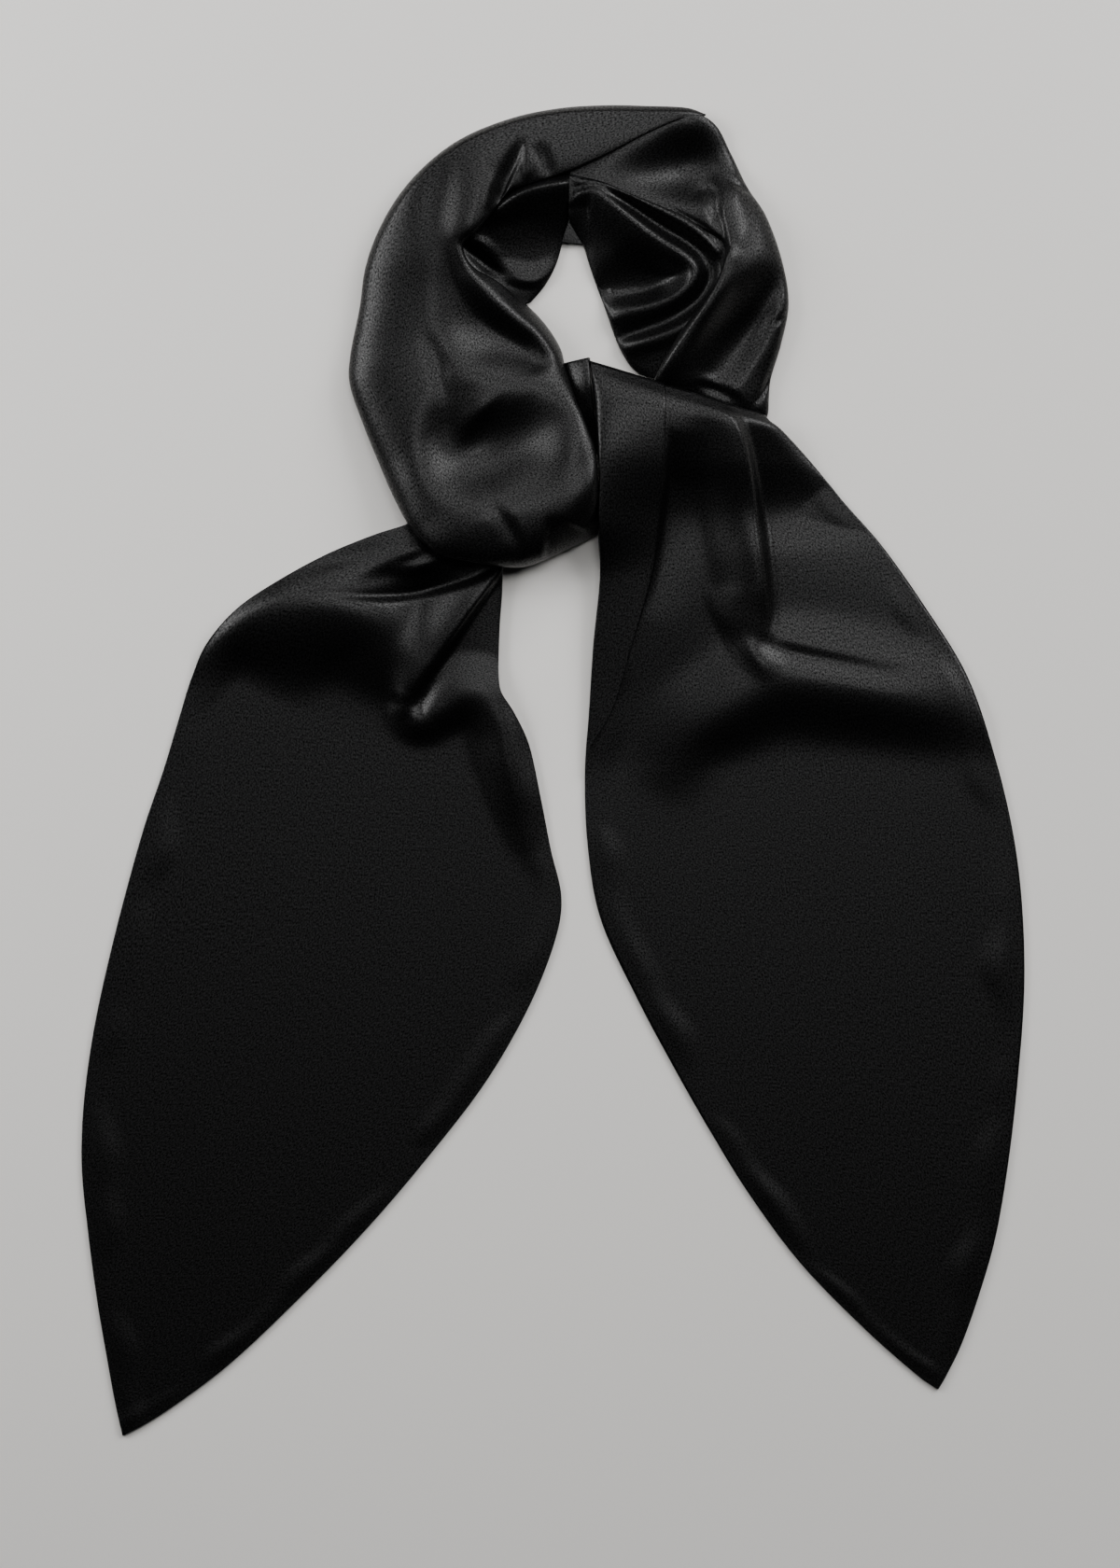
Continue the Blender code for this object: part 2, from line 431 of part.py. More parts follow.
def satin(name):
    material = bpy.data.materials.new(name)
    material.use_nodes = True
    shader = material.node_tree.nodes["Principled BSDF"]
    shader.inputs["Base Color"].default_value = SATIN_BLACK
    shader.inputs["Roughness"].default_value = SATIN_ROUGHNESS
    shader.inputs["Metallic"].default_value = 0.0
    return material


def add_object(name, mesh_points, faces):
    """A closed body with its faces outwards and a satin of its own."""
    mesh = bpy.data.meshes.new(name)
    mesh.from_pydata([tuple(p * MM) for p in mesh_points], [], faces)
    shape = bmesh.new()
    shape.from_mesh(mesh)
    bmesh.ops.recalc_face_normals(shape, faces=shape.faces)
    shape.to_mesh(mesh)
    shape.free()
    mesh.shade_smooth()
    mesh.set_sharp_from_angle(angle=SHARP_ANGLE)
    mesh.materials.append(satin(name + "_satin"))
    body = bpy.data.objects.new(name, mesh)
    bpy.context.scene.collection.objects.link(body)
    return body


def between(name, upper, lower):
    """The body between two grids with the same rows and columns."""
    rows, columns = upper.shape[:2]
    count = rows * columns
    points = np.vstack([upper.reshape(-1, 3), lower.reshape(-1, 3)])
    faces = []
    for i in range(rows - 1):
        for j in range(columns - 1):
            a = i * columns + j
            b, c, d = a + 1, a + columns + 1, a + columns
            faces.append((a, b, c, d))
            faces.append((a + count, d + count, c + count, b + count))
    rim = [j for j in range(columns)]
    rim += [i * columns + columns - 1 for i in range(1, rows)]
    rim += [(rows - 1) * columns + j for j in range(columns - 2, -1, -1)]
    rim += [i * columns for i in range(rows - 2, 0, -1)]
    for k, a in enumerate(rim):
        b = rim[(k + 1) % len(rim)]
        faces.append((a, a + count, b + count, b))
    return add_object(name, points, faces)


def heaped(name, table, folds, columns):
    """Layers that lie in a heap: one solid, rounded above and flat below."""
    rows = grid_rows(table)
    upper = cloth_grid(table, folds, round_shares(rows, columns), rows, LOWEST_TOP, HEAP_REACH)
    lines = upper.shape[0]
    count = lines * columns
    ends = [j for i in range(lines) for j in (i * columns, i * columns + columns - 1)]
    flat = upper.reshape(-1, 3)[ends] * (1, 1, 0)
    points = np.vstack([upper.reshape(-1, 3), flat])
    faces = []
    for i in range(lines - 1):
        for j in range(columns - 1):
            a = i * columns + j
            faces.append((a, a + 1, a + columns + 1, a + columns))
        a, b = i * columns, (i + 1) * columns
        low = count + 2 * i
        faces.append((a, b, low + 2, low))
        faces.append((a + columns - 1, low + 1, low + 3, b + columns - 1))
        faces.append((low, low + 2, low + 3, low + 1))
    last = (lines - 1) * columns
    low = count + 2 * (lines - 1)
    faces.append(tuple(range(columns)) + (count + 1, count))
    faces.append(tuple(range(last + columns - 1, last - 1, -1)) + (low, low + 1))
    return add_object(name, points, faces)


def underside(table, rows, upper):
    """The wall's lower side: flat on the table, lifted where a fold stands up."""
    hollow = curve(column(table, "hollow")[:, None], rows)
    lower = upper.copy()
    lower[:, :, 2] = (upper[:, :, 2] - WALL) * hollow
    return lower


def build_tail_right():
    rows = grid_rows(TAIL_RIGHT)
    shares = flap_shares(TAIL_RIGHT, rows, 26)
    upper = cloth_grid(TAIL_RIGHT, TAIL_RIGHT_FOLDS, shares, rows, WALL, TAIL_REACH)
    between("tail_right", upper, underside(TAIL_RIGHT, rows, upper))
    lines = len(grid_rows(TAIL_RIGHT, FLAP_END_SECTION))
    panel = upper[:lines, :FLAP_COLUMNS]
    lower = panel + (0, 0, SEAM_GAP)
    between("tail_right_flap", lower + (0, 0, WALL), lower)


def build_tail_left():
    rows = grid_rows(TAIL_LEFT)
    upper = cloth_grid(TAIL_LEFT, TAIL_LEFT_FOLDS, even_shares(rows, 27), rows, WALL, TAIL_REACH)
    between("tail_left", upper, underside(TAIL_LEFT, rows, upper))


def main():
    for old in list(bpy.data.objects):
        bpy.data.objects.remove(old, do_unlink=True)
    heaped("ring_left", RING_LEFT, RING_LEFT_FOLDS, 23)
    heaped("ring_right", RING_RIGHT, RING_RIGHT_FOLDS, 17)
    heaped("ring_inner_left", RING_INNER_LEFT, RING_INNER_LEFT_FOLDS, 11)
    heaped("ring_inner_right", RING_INNER_RIGHT, RING_INNER_RIGHT_FOLDS, 23)
    heaped("ring_under_layer", RING_UNDER_LAYER, (), 4)
    heaped("knot_strip", KNOT_STRIP, (), 5)
    build_tail_right()
    build_tail_left()


main()
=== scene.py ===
# %% [markdown]
# # A black satin evening scarf, laid flat
#
# The real thing is two long leaf-pointed pieces of black satin, sewn face to
# face and turned out. It is tied in a half knot that leaves a loop the size of
# a neck, and laid on a table with its two points fanned out below the knot.
# This notebook builds the cloth around a finished solid model, which gives the
# sizes and the places. Nothing here moves or resizes that model.

# %% The frame
import math
from collections import namedtuple

import bpy
import numpy as np
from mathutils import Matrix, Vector


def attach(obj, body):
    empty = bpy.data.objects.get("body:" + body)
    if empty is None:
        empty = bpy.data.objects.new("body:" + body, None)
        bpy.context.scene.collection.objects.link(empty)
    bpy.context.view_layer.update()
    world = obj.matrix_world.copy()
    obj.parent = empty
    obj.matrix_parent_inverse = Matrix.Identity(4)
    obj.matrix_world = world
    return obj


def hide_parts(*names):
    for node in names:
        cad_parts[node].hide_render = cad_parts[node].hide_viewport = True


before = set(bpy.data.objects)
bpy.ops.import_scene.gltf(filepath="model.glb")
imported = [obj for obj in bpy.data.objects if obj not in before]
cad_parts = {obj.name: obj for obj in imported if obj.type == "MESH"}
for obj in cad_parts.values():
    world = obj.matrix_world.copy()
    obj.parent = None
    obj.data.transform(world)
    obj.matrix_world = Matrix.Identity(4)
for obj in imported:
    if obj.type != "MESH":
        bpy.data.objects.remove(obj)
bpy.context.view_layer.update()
print("nodes:", ", ".join(sorted(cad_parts)))

# %% [markdown]
# ## Units
#
# A tailor thinks in millimetres and Blender in metres, so the tables below are
# in millimetres and one factor turns them round at the very end, where a mesh
# is made. Cloth is never quite on the table: a fraction of a millimetre of air
# keeps the two surfaces from fighting for the same pixels.

# %% Units and the cloth's own sizes
MM = 0.001
AIR = 0.2                 # below cloth that lies on the table
TAIL_WALL = 1.4           # two layers of satin and their seam, flat on the table
HEAP_WALL = 0.8           # the satin of the loop, where the layers are pulled apart
PHOTO_WIDTH, PHOTO_HEIGHT = 1200, 1680
FRAME_HEIGHT = 739.0      # what the picture takes in, from top to bottom
print("picture takes in", round(FRAME_HEIGHT * PHOTO_WIDTH / PHOTO_HEIGHT), "x", FRAME_HEIGHT, "mm")

# %% [markdown]
# ## Camera
#
# The photograph looks straight down. A lens close to the table would swell the
# knot, which stands nearer to it than the points do, so the camera hangs three
# metres up and its long lens frames the same patch of table. It is turned by
# nothing at all: a Blender camera looks down by itself, with +Y at the top.

# %% Camera
CAMERA_HEIGHT = 3000.0
FRAME_CENTRE = (3.3, -6.2)
SENSOR = 24.0

lens = bpy.data.cameras.new("camera")
lens.sensor_fit = "VERTICAL"
lens.sensor_height = SENSOR
lens.lens = SENSOR * CAMERA_HEIGHT / FRAME_HEIGHT
lens.clip_end = 20.0
camera = bpy.data.objects.new("camera", lens)
camera.location = (FRAME_CENTRE[0] * MM, FRAME_CENTRE[1] * MM, CAMERA_HEIGHT * MM)
bpy.context.scene.collection.objects.link(camera)
bpy.context.scene.camera = camera
print("lens", round(lens.lens, 1), "mm")

# %% [markdown]
# ## Smooth lines through a few points
#
# Every outline and every fold below is a short list of places. A cubic curve
# runs through them, with each tangent taken from the two neighbours. Where two
# places lie close together the tangent is cut short, because a long one there
# would throw a loop into the cloth. Cutting an outline from many short straight
# runs would also work, but satin shows every corner as a kink in its shine.

# %% Curves
TANGENT_LIMIT = 1.4


def tangents(points):
    steps = np.diff(points, axis=0)
    lengths = np.linalg.norm(steps, axis=1)
    inner = (points[2:] - points[:-2]) / 2
    limit = TANGENT_LIMIT * np.minimum(lengths[:-1], lengths[1:])
    size = np.linalg.norm(inner, axis=1)
    inner *= np.minimum(1.0, limit / np.maximum(size, 1e-9))[:, None]
    return np.vstack([steps[:1], inner, steps[-1:]])


def curve(points, where):
    """The smooth curve through points, read at fractional row numbers."""
    points = np.asarray(points, dtype=float)
    slope = tangents(points)
    row = np.clip(where.astype(int), 0, len(points) - 2)
    t = (where - row)[:, None]
    a, b = points[row], points[row + 1]
    cubic = (2 * t**3 - 3 * t**2 + 1) * a + (3 * t**2 - 2 * t**3) * b
    return cubic + (t**3 - 2 * t**2 + t) * slope[row] + (t**3 - t**2) * slope[row + 1]


# %% [markdown]
# ## Folds
#
# A fold is a line on the table with a row for each place along it: x, y, how
# high the cloth stands there (below zero it sinks), and how far the fold fades
# out to the left and to the right of the line. Two unequal reaches make the
# steep and the gentle side that a real fold has. A soft fold is a cosine bell,
# a broad one is the same bell eased many more times, and a crease comes to an
# edge. Pushing single vertices by hand would give the same forms, but nobody
# could read them afterwards, or move one.

# %% Folds
Fold = namedtuple("Fold", "name kind rows")
LINE_STEP = 1.0           # between the points of a fold's line
LEAST_POINTS = 12         # of a fold's line
LEAST_REACH = 0.3
CHUNK = 8000              # points of the plan taken at a time, to spare memory


def cosine_bell(t):
    return 0.5 + 0.5 * np.cos(math.pi * t)


def edged_bell(t):
    return (1 - t) ** 2


BELL = {"broad": cosine_bell, "soft": cosine_bell, "crease": edged_bell}
SMOOTHING = {"broad": 14, "soft": 2, "crease": 1}   # rounds of easing
print("kinds of fold:", ", ".join(BELL))


def line_of(fold):
    """A fold's line: places, directions, heights and reaches, a millimetre apart."""
    rows = np.array(fold.rows, dtype=float)
    length = np.linalg.norm(np.diff(rows[:, :2], axis=0), axis=1).sum()
    count = max(LEAST_POINTS, int(length / LINE_STEP))
    where = np.linspace(0, len(rows) - 1, count)
    place = curve(rows[:, :2], where)
    numbers = np.arange(len(rows))
    levels = np.stack([np.interp(where, numbers, rows[:, k]) for k in (2, 3, 4)], axis=1)
    soft = np.hanning(2 * (count // (len(rows) * 2)) + 3)
    soft /= soft.sum()
    pad = len(soft) // 2
    padded = np.pad(levels, ((pad, pad), (0, 0)), mode="edge")
    levels = np.stack([np.convolve(padded[:, k], soft, mode="valid") for k in range(3)], axis=1)
    way = np.gradient(place, axis=0)
    way /= np.linalg.norm(way, axis=1)[:, None]
    return place, way, levels


def fold_lift(fold, plan):
    """How much a fold lifts each point of the plan."""
    place, way, levels = line_of(fold)
    lift = np.zeros(len(plan))
    reach = levels[:, 1:].max()
    low, high = place.min(axis=0) - reach, place.max(axis=0) + reach
    near = np.nonzero(((plan > low) & (plan < high)).all(axis=1))[0]
    spacing = np.linalg.norm(np.diff(place, axis=0), axis=1).mean()
    for part in np.array_split(near, max(1, len(near) // CHUNK)):
        offset = plan[part][:, None, :] - place[None, :, :]
        closest = (offset**2).sum(axis=2).argmin(axis=1)
        gap = offset[np.arange(len(part)), closest]
        along = (gap * way[closest]).sum(axis=1)
        aside = way[closest, 0] * gap[:, 1] - way[closest, 1] * gap[:, 0]
        row = np.clip(closest + along / spacing, 0, len(place) - 1)
        past = (closest + along / spacing - row) * spacing
        level = np.stack([np.interp(row, np.arange(len(place)), levels[:, k]) for k in range(3)])
        width = np.maximum(np.where(aside > 0, level[1], level[2]), LEAST_REACH)
        lift[part] = level[0] * BELL[fold.kind](np.clip(np.hypot(aside, past) / width, 0, 1))
    return lift


def smoothed(height):
    """A grid of heights, each eased towards its four neighbours."""
    padded = np.pad(height, 1, mode="edge")
    down = (padded[:-2] + 2 * padded[1:-1] + padded[2:]) / 4
    return (down[:, :-2] + 2 * down[:, 1:-1] + down[:, 2:]) / 4


# %% [markdown]
# ## A stretch of cloth
#
# The scarf winds round, so it is drawn stretch by stretch. A stretch is a list
# of sections across it, each with its two edge points and three heights: at
# the left edge, midway and at the right edge. The rows of the grid are spread
# evenly along the stretch. Across it they crowd towards the edges, where the
# cloth turns down most sharply. A cloth simulation could find such folds by
# itself, but not these ones, and the photograph's folds are what is wanted.

# %% Sections
Section = namedtuple("Section", "left_x left_y right_x right_y left_z crown_z right_z")
ROUNDNESS = 2.5           # 2 is an ellipse; a higher number lies flatter and drops more steeply
SAMPLES = 60              # for each section, when an edge is measured
print("a section has", ", ".join(Section._fields))


def even_rows(table, cell):
    """Fractional section numbers, a cell apart along the longest of the two edges."""
    fine = np.linspace(0, len(table) - 1, SAMPLES * len(table))
    left = curve([(s.left_x, s.left_y) for s in table], fine)
    right = curve([(s.right_x, s.right_y) for s in table], fine)
    sides = [left, right]
    steps = np.max([np.linalg.norm(np.diff(side, axis=0), axis=1) for side in sides], axis=0)
    run = np.concatenate([[0], np.cumsum(steps)])
    return np.interp(np.linspace(0, run[-1], int(run[-1] / cell) + 1), run, fine)


def plan_and_base(table, rows, shares):
    """The grid seen from above, and its height before any fold."""
    left = curve([(s.left_x, s.left_y) for s in table], rows)
    right = curve([(s.right_x, s.right_y) for s in table], rows)
    level = curve([(s.left_z, s.crown_z, s.right_z) for s in table], rows)
    plan = left[:, None, :] * (1 - shares[:, :, None]) + right[:, None, :] * shares[:, :, None]
    mean = (level[:, 0] + level[:, 2]) / 2
    dome = np.clip(1 - np.abs(2 * shares - 1) ** ROUNDNESS, 0, None) ** (1 / ROUNDNESS)
    edges = level[:, :1] * (1 - shares) + level[:, 2:] * shares
    return plan, edges + (level[:, 1] - mean)[:, None] * dome


def lifted(table, folds, rows, shares, lowest):
    """The grid of points of a stretch, with all its folds."""
    plan, base = plan_and_base(table, rows, shares)
    height = base
    for fold in folds:
        lift = fold_lift(fold, plan.reshape(-1, 2)).reshape(base.shape)
        for _ in range(SMOOTHING[fold.kind]):
            lift = smoothed(lift)
        height = height + lift
    return np.dstack([plan, np.maximum(height, lowest)])


# %% [markdown]
# ## Hems
#
# The two layers are sewn right sides together and turned out, so the seam makes
# a rim a little thicker than the rest. It is never even: the stitching draws
# the satin into shallow swellings and puckers, and each of them catches the
# light. Sines of lengths that don't divide into each other keep the rim from
# repeating itself. The knot pulls the cloth flat, so the rim fades in below it.

# %% Hems
HEM_REACH = 17.0          # in from the edge
HEM_START = 140.0         # the knot pulls the rim flat this far
HEM_HEIGHT = 0.75
HEM_LEVEL = 0.45          # of that height, on average
HEM_LEAST = 0.05
HEM_SPREAD = (0.8, 0.5)   # the reach of a low rim, and what a high one adds
HemWave = namedtuple("HemWave", "length phase share")
HEM_WAVES = (
    HemWave(131.0, 0.0, 0.3),
    HemWave(83.0, 2.0, 0.26),
    HemWave(47.0, 1.3, 0.2),
    HemWave(29.0, 0.4, 0.06),
)
print("the rim swells over", [wave.length for wave in HEM_WAVES], "mm")


def hemmed(grid, height, shift):
    """Raises both long edges of a flat stretch into an uneven hem."""
    shaped = grid.copy()
    for edge, sign in ((0, 1), (-1, -1)):
        line = grid[:, edge, :2]
        run = np.concatenate([[0], np.cumsum(np.linalg.norm(np.diff(line, axis=0), axis=1))])
        waves = sum(
            wave.share * np.sin(2 * math.pi * run / wave.length + wave.phase * sign + shift)
            for wave in HEM_WAVES)
        swell = np.clip(HEM_LEVEL + waves, HEM_LEAST, None) * np.clip(run / HEM_START, 0, 1)
        swell = swell[:, None]
        inside = np.linalg.norm(grid[:, :, :2] - line[:, None, :], axis=2)
        reach = HEM_REACH * (HEM_SPREAD[0] + HEM_SPREAD[1] * swell)
        shaped[:, :, 2] += height * swell * np.sin(math.pi * np.clip(inside / reach, 0, 1)) ** 2
    return shaped


# %% [markdown]
# ## From a grid to cloth
#
# The loop's cloth turns under at its edges. So each row gets a few more points
# that go on down and back inwards, until they meet the table or the next layer.
# The mesh keeps a UV map in metres along and across the cloth, which carries
# the weave round every fold. Solidify then gives the sheet its thickness, on
# its lower side, so that the upper side stays where the tables put it.

# %% Making the mesh
TURN_DEPTH = 16.0
INSET_LIMIT = 0.45        # of a stretch's width, so that its two turned edges never meet
TURN = ((0.25, 0.30), (1.0, 0.72), (2.6, 0.95), (6.5, 1.0))   # inset in mm, share of the depth


def turned_under(grid, left=True, right=True):
    """Adds the part of each row that turns down and back in at the edges."""
    across = grid[:, -1, :2] - grid[:, 0, :2]
    width = np.linalg.norm(across, axis=1)[:, None]
    across = across / width
    sides = []
    for edge, inward, wanted in ((grid[:, 0], across, left), (grid[:, -1], -across, right)):
        strips = []
        depth = np.minimum(edge[:, 2] - AIR - HEAP_WALL, TURN_DEPTH)[:, None]
        for inset, share in TURN if wanted else ():
            plan = edge[:, :2] + inward * np.minimum(inset, width * INSET_LIMIT)
            strips.append(np.hstack([plan, edge[:, 2:] - depth * share]))
        sides.append(strips)
    columns = sides[0][::-1] + [grid[:, k] for k in range(grid.shape[1])] + sides[1]
    return np.stack(columns, axis=1)


def cloth_mesh(name, grid, wall):
    """A sheet of cloth from its grid of points, with a UV map in metres."""
    lines, columns = grid.shape[:2]
    corners = np.arange(lines * columns).reshape(lines, columns)
    a, b = corners[:-1, :-1].ravel(), corners[:-1, 1:].ravel()
    c, d = corners[1:, 1:].ravel(), corners[1:, :-1].ravel()
    line, column = lines // 2, columns // 2
    across = grid[line, column + 1] - grid[line, column]
    along = grid[line + 1, column] - grid[line, column]
    if np.cross(across, along)[2] > 0:
        faces = np.stack([a, b, c, d], axis=1)
    else:
        faces = np.stack([a, d, c, b], axis=1)
    mesh = bpy.data.meshes.new(name)
    mesh.from_pydata((grid.reshape(-1, 3) * MM).tolist(), [], faces.tolist())
    along = np.linalg.norm(np.diff(grid, axis=0), axis=2).mean(axis=1)
    along = np.concatenate([[0], np.cumsum(along)])
    across = np.linalg.norm(np.diff(grid, axis=1), axis=2)
    across = np.hstack([np.zeros((lines, 1)), np.cumsum(across, axis=1)])
    across -= across[:, -1:] / 2
    uv = np.stack([across, np.repeat(along[:, None], columns, axis=1)], axis=2).reshape(-1, 2) * MM
    layer = mesh.uv_layers.new(name="cloth")
    layer.data.foreach_set("uv", uv[faces.ravel()].ravel())
    mesh.shade_smooth()
    piece = bpy.data.objects.new(name, mesh)
    bpy.context.scene.collection.objects.link(piece)
    thicken = piece.modifiers.new("thickness", "SOLIDIFY")
    thicken.thickness = wall * MM
    thicken.offset = -1.0
    thicken.use_even_offset = False
    bpy.context.view_layer.objects.active = piece
    bpy.ops.object.select_all(action="DESELECT")
    piece.select_set(True)
    bpy.ops.object.modifier_apply(modifier=thicken.name)
    print(name, len(piece.data.polygons), "faces")
    return piece


def crowded(rows, columns):
    """Columns that crowd towards both edges of a heaped stretch."""
    t = np.linspace(0, 1, columns)
    return np.tile((1 - np.cos(math.pi * t)) / 2, (len(rows), 1))


def heap(name, table, folds, cell, columns, left=True, right=True):
    """A stretch of the loop: domed, folded and turned under at its edges."""
    rows = even_rows(table, cell)
    grid = lifted(table, folds, rows, crowded(rows, columns), AIR + HEAP_WALL)
    return cloth_mesh(name, turned_under(grid, left, right), HEAP_WALL)


# %% [markdown]
# ## The loop's left side
#
# This stretch starts as a tip at the loop's top right corner, comes over the
# top, turns down the left side and ends across the front of the knot. It lies
# over all its neighbours. The hollow above the knot and the crescent beside the
# hole are its deepest folds, and give the loop most of its light and shade.

# %% Ring, left side
RING_LEFT = (
    Section(72.0, 309.0, 68.5, 308.0, 5.0, 6.0, 6.0),
    Section(62.5, 312.0, 57.0, 305.0, 7.5, 9.0, 9.0),
    Section(44.0, 312.7, 43.0, 299.0, 10.0, 11.0, 11.0),
    Section(25.0, 313.0, 26.0, 290.0, 11.5, 12.5, 12.0),
    Section(3.5, 311.5, 11.0, 283.0, 12.5, 13.5, 12.5),
    Section(-18.5, 307.0, -1.0, 278.5, 13.0, 14.5, 12.5),
    Section(-40.5, 298.5, -12.0, 275.0, 12.5, 15.0, 12.5),
    Section(-57.5, 287.0, -21.0, 271.5, 11.0, 16.0, 13.0),
    Section(-72.0, 271.5, -28.5, 262.0, 8.5, 16.5, 14.5),
    Section(-82.5, 253.5, -35.0, 254.0, 6.5, 16.5, 15.5),
    Section(-88.5, 236.0, -42.0, 247.0, 5.0, 16.0, 14.0),
    Section(-91.0, 218.0, -38.0, 237.0, 4.5, 16.0, 11.5),
    Section(-95.5, 195.0, -26.0, 230.0, 4.5, 16.5, 8.0),
    Section(-95.5, 181.0, -12.0, 219.0, 5.5, 17.0, 3.0),
    Section(-89.0, 162.0, -3.0, 209.5, 7.0, 18.5, 2.0),
    Section(-81.5, 143.5, 3.5, 199.0, 8.0, 20.5, 2.0),
    Section(-74.0, 126.5, 6.0, 189.5, 11.0, 23.5, 6.0),
    Section(-66.0, 113.0, 10.5, 175.0, 16.0, 26.0, 15.0),
    Section(-53.0, 101.5, 15.5, 163.0, 20.0, 28.0, 18.0),
    Section(-33.0, 97.0, 20.0, 150.0, 20.0, 27.0, 19.0),
    Section(-14.0, 95.5, 21.2, 137.0, 14.0, 25.5, 19.0),
    Section(3.5, 102.5, 21.6, 124.0, 13.0, 20.0, 16.0),
    Section(18.5, 110.0, 21.8, 114.5, 8.0, 10.0, 9.0),
)
RING_LEFT_FOLDS = (
    Fold("rolled edge of the hole", "soft", (
        (-45, 250, 0, 4, 5), (-43, 243, 2, 6, 8), (-39, 233, 3, 8, 10), (-31, 224, 3.5, 10, 12),
        (-22, 216, 4, 10, 12), (-11, 207, 4, 10, 11), (-3, 198, 3, 8, 9), (3, 188, 0, 5, 8))),
    Fold("crescent trough", "soft", (
        (-47.5, 247, 0, 4, 6), (-46, 236, -1.5, 8, 14), (-42, 224, -3, 11, 19),
        (-35, 212, -4.6, 13, 24), (-25, 204, -5.4, 13, 25), (-14, 198, -4.6, 12, 22),
        (-6, 193, -2.4, 8, 15), (-1, 189, 0, 6, 8))),
    Fold("ridge over the hollow", "broad", (
        (-50, 178, 0, 8, 8), (-42, 184, 1, 10, 12), (-24, 188, 1.5, 12, 14), (-6, 187, 1.5, 12, 14),
        (6, 182, 0.5, 8, 10), (10, 175, 0, 6, 6))),
    Fold("hollow over the knot", "broad", (
        (-48, 175, -1.5, 12, 8), (-49, 165, -4.6, 18, 15), (-46.5, 155, -8, 26, 22),
        (-40, 149, -11, 30, 30), (-28, 151, -12.2, 30, 35), (-14, 157, -9.6, 25, 36),
        (-4, 163, -5, 20, 28), (4, 168, -1.8, 14, 17), (8, 172, 0, 8, 9))),
    Fold("side crease", "soft", (
        (-61, 206, 0, 5, 3), (-57.5, 198, -1.1, 8, 4), (-54.5, 189, -1.7, 9, 4),
        (-53, 180, -1.3, 8, 4), (-52, 170, 0, 6, 4))),
    Fold("lower crease", "soft", (
        (-36, 134, 0, 2, 4), (-29, 125, -1, 2.5, 5), (-22, 117, -1.6, 2.5, 6),
        (-17, 109, -1.6, 3, 7), (-15, 102, -0.8, 3, 5))),
    Fold("shoulder ridge", "broad", (
        (-30, 299, 0, 8, 12), (-32, 286, 1.3, 8, 16), (-35, 270, 1.9, 8, 18),
        (-38.5, 256, 1.7, 7, 18), (-41, 245, 0, 6, 12))),
    Fold("shoulder dent", "broad", (
        (-46, 296, 0, 8, 9), (-51, 280, -1.2, 10, 13), (-54, 264, -1.4, 12, 14),
        (-54, 248, -0.8, 10, 12), (-53, 236, 0, 8, 10))),
    Fold("mouth crease", "soft", (
        (-14, 298, 0, 2, 3), (-17, 287, -2.2, 2, 7), (-21, 278, -3.4, 2.2, 8),
        (-25, 269, -3.6, 2.5, 7), (-28, 263, -1.6, 2, 5))),
    Fold("upper pit", "soft", (
        (-6, 296, 0, 5, 5), (-5, 289, -1.2, 6, 5), (-3, 282, -1.2, 6, 5), (-2, 277, 0, 4, 4))),
    Fold("upper bump", "soft", (
        (-12.5, 296, 0, 4, 3), (-12, 288, 1.2, 4, 3), (-12, 281, 1.2, 4, 3), (-13, 276, 0, 3, 3))),
    Fold("turn under the knot", "soft", (
        (-19, 93, 0, 8, 4), (-8, 86, -6, 28, 6), (3, 87, -10, 38, 6), (14, 94, -10, 36, 6),
        (24, 104, -6, 26, 6), (29, 114, 0, 8, 6))),
    Fold("outer rim", "crease", (
        (73, 309, -1, 2, 2), (62, 312.3, -2.5, 4, 2), (44, 313, -4, 4.5, 2),
        (25, 313.2, -5, 4.5, 2),
        (3, 312, -5.5, 4.5, 2), (-19, 307.5, -5.5, 4.5, 2), (-41, 299, -5, 4.5, 2),
        (-58, 287.5, -4.5, 4.5, 2), (-72.5, 272, -3.5, 4.5, 2), (-83, 254, -2.5, 4.5, 2),
        (-89.5, 236, -1.2, 4, 2), (-92, 218, 0, 4, 2))),
)
ring_left = heap("scarf_ring_left", RING_LEFT, RING_LEFT_FOLDS, cell=1.15, columns=85)

# %% [markdown]
# ## The loop's right side
#
# The other strand leaves the knot, goes up the right of the loop, and turns
# back to the left under the strand on top. Its first and last sections reach a
# little way under their neighbours, as real layers do, so no gap shows.

# %% Ring, right side
RING_RIGHT = (
    Section(100.5, 165.5, 46.5, 182.0, 2.0, 9.0, 8.0),
    Section(101.5, 169.5, 48.5, 186.0, 2.0, 12.0, 10.0),
    Section(102.5, 184.0, 52.5, 194.0, 2.0, 14.0, 12.5),
    Section(107.5, 201.0, 60.5, 207.0, 2.0, 15.0, 13.5),
    Section(111.0, 220.0, 70.0, 219.0, 2.0, 16.0, 14.5),
    Section(108.0, 240.0, 77.5, 231.5, 2.0, 16.0, 15.0),
    Section(100.5, 261.0, 81.0, 243.5, 2.0, 15.0, 14.5),
    Section(91.5, 275.0, 79.5, 249.0, 2.0, 13.5, 13.5),
    Section(84.0, 290.5, 74.0, 252.5, 2.0, 12.0, 12.5),
    Section(76.5, 304.0, 64.0, 257.5, 4.0, 11.0, 11.5),
    Section(66.0, 308.5, 49.5, 264.0, 8.0, 10.5, 11.0),
    Section(48.5, 304.0, 34.0, 270.5, 8.5, 10.0, 10.5),
    Section(26.5, 293.0, 21.5, 275.5, 8.5, 9.5, 10.0),
    Section(5.0, 284.0, 5.5, 278.5, 8.0, 8.5, 8.5),
)
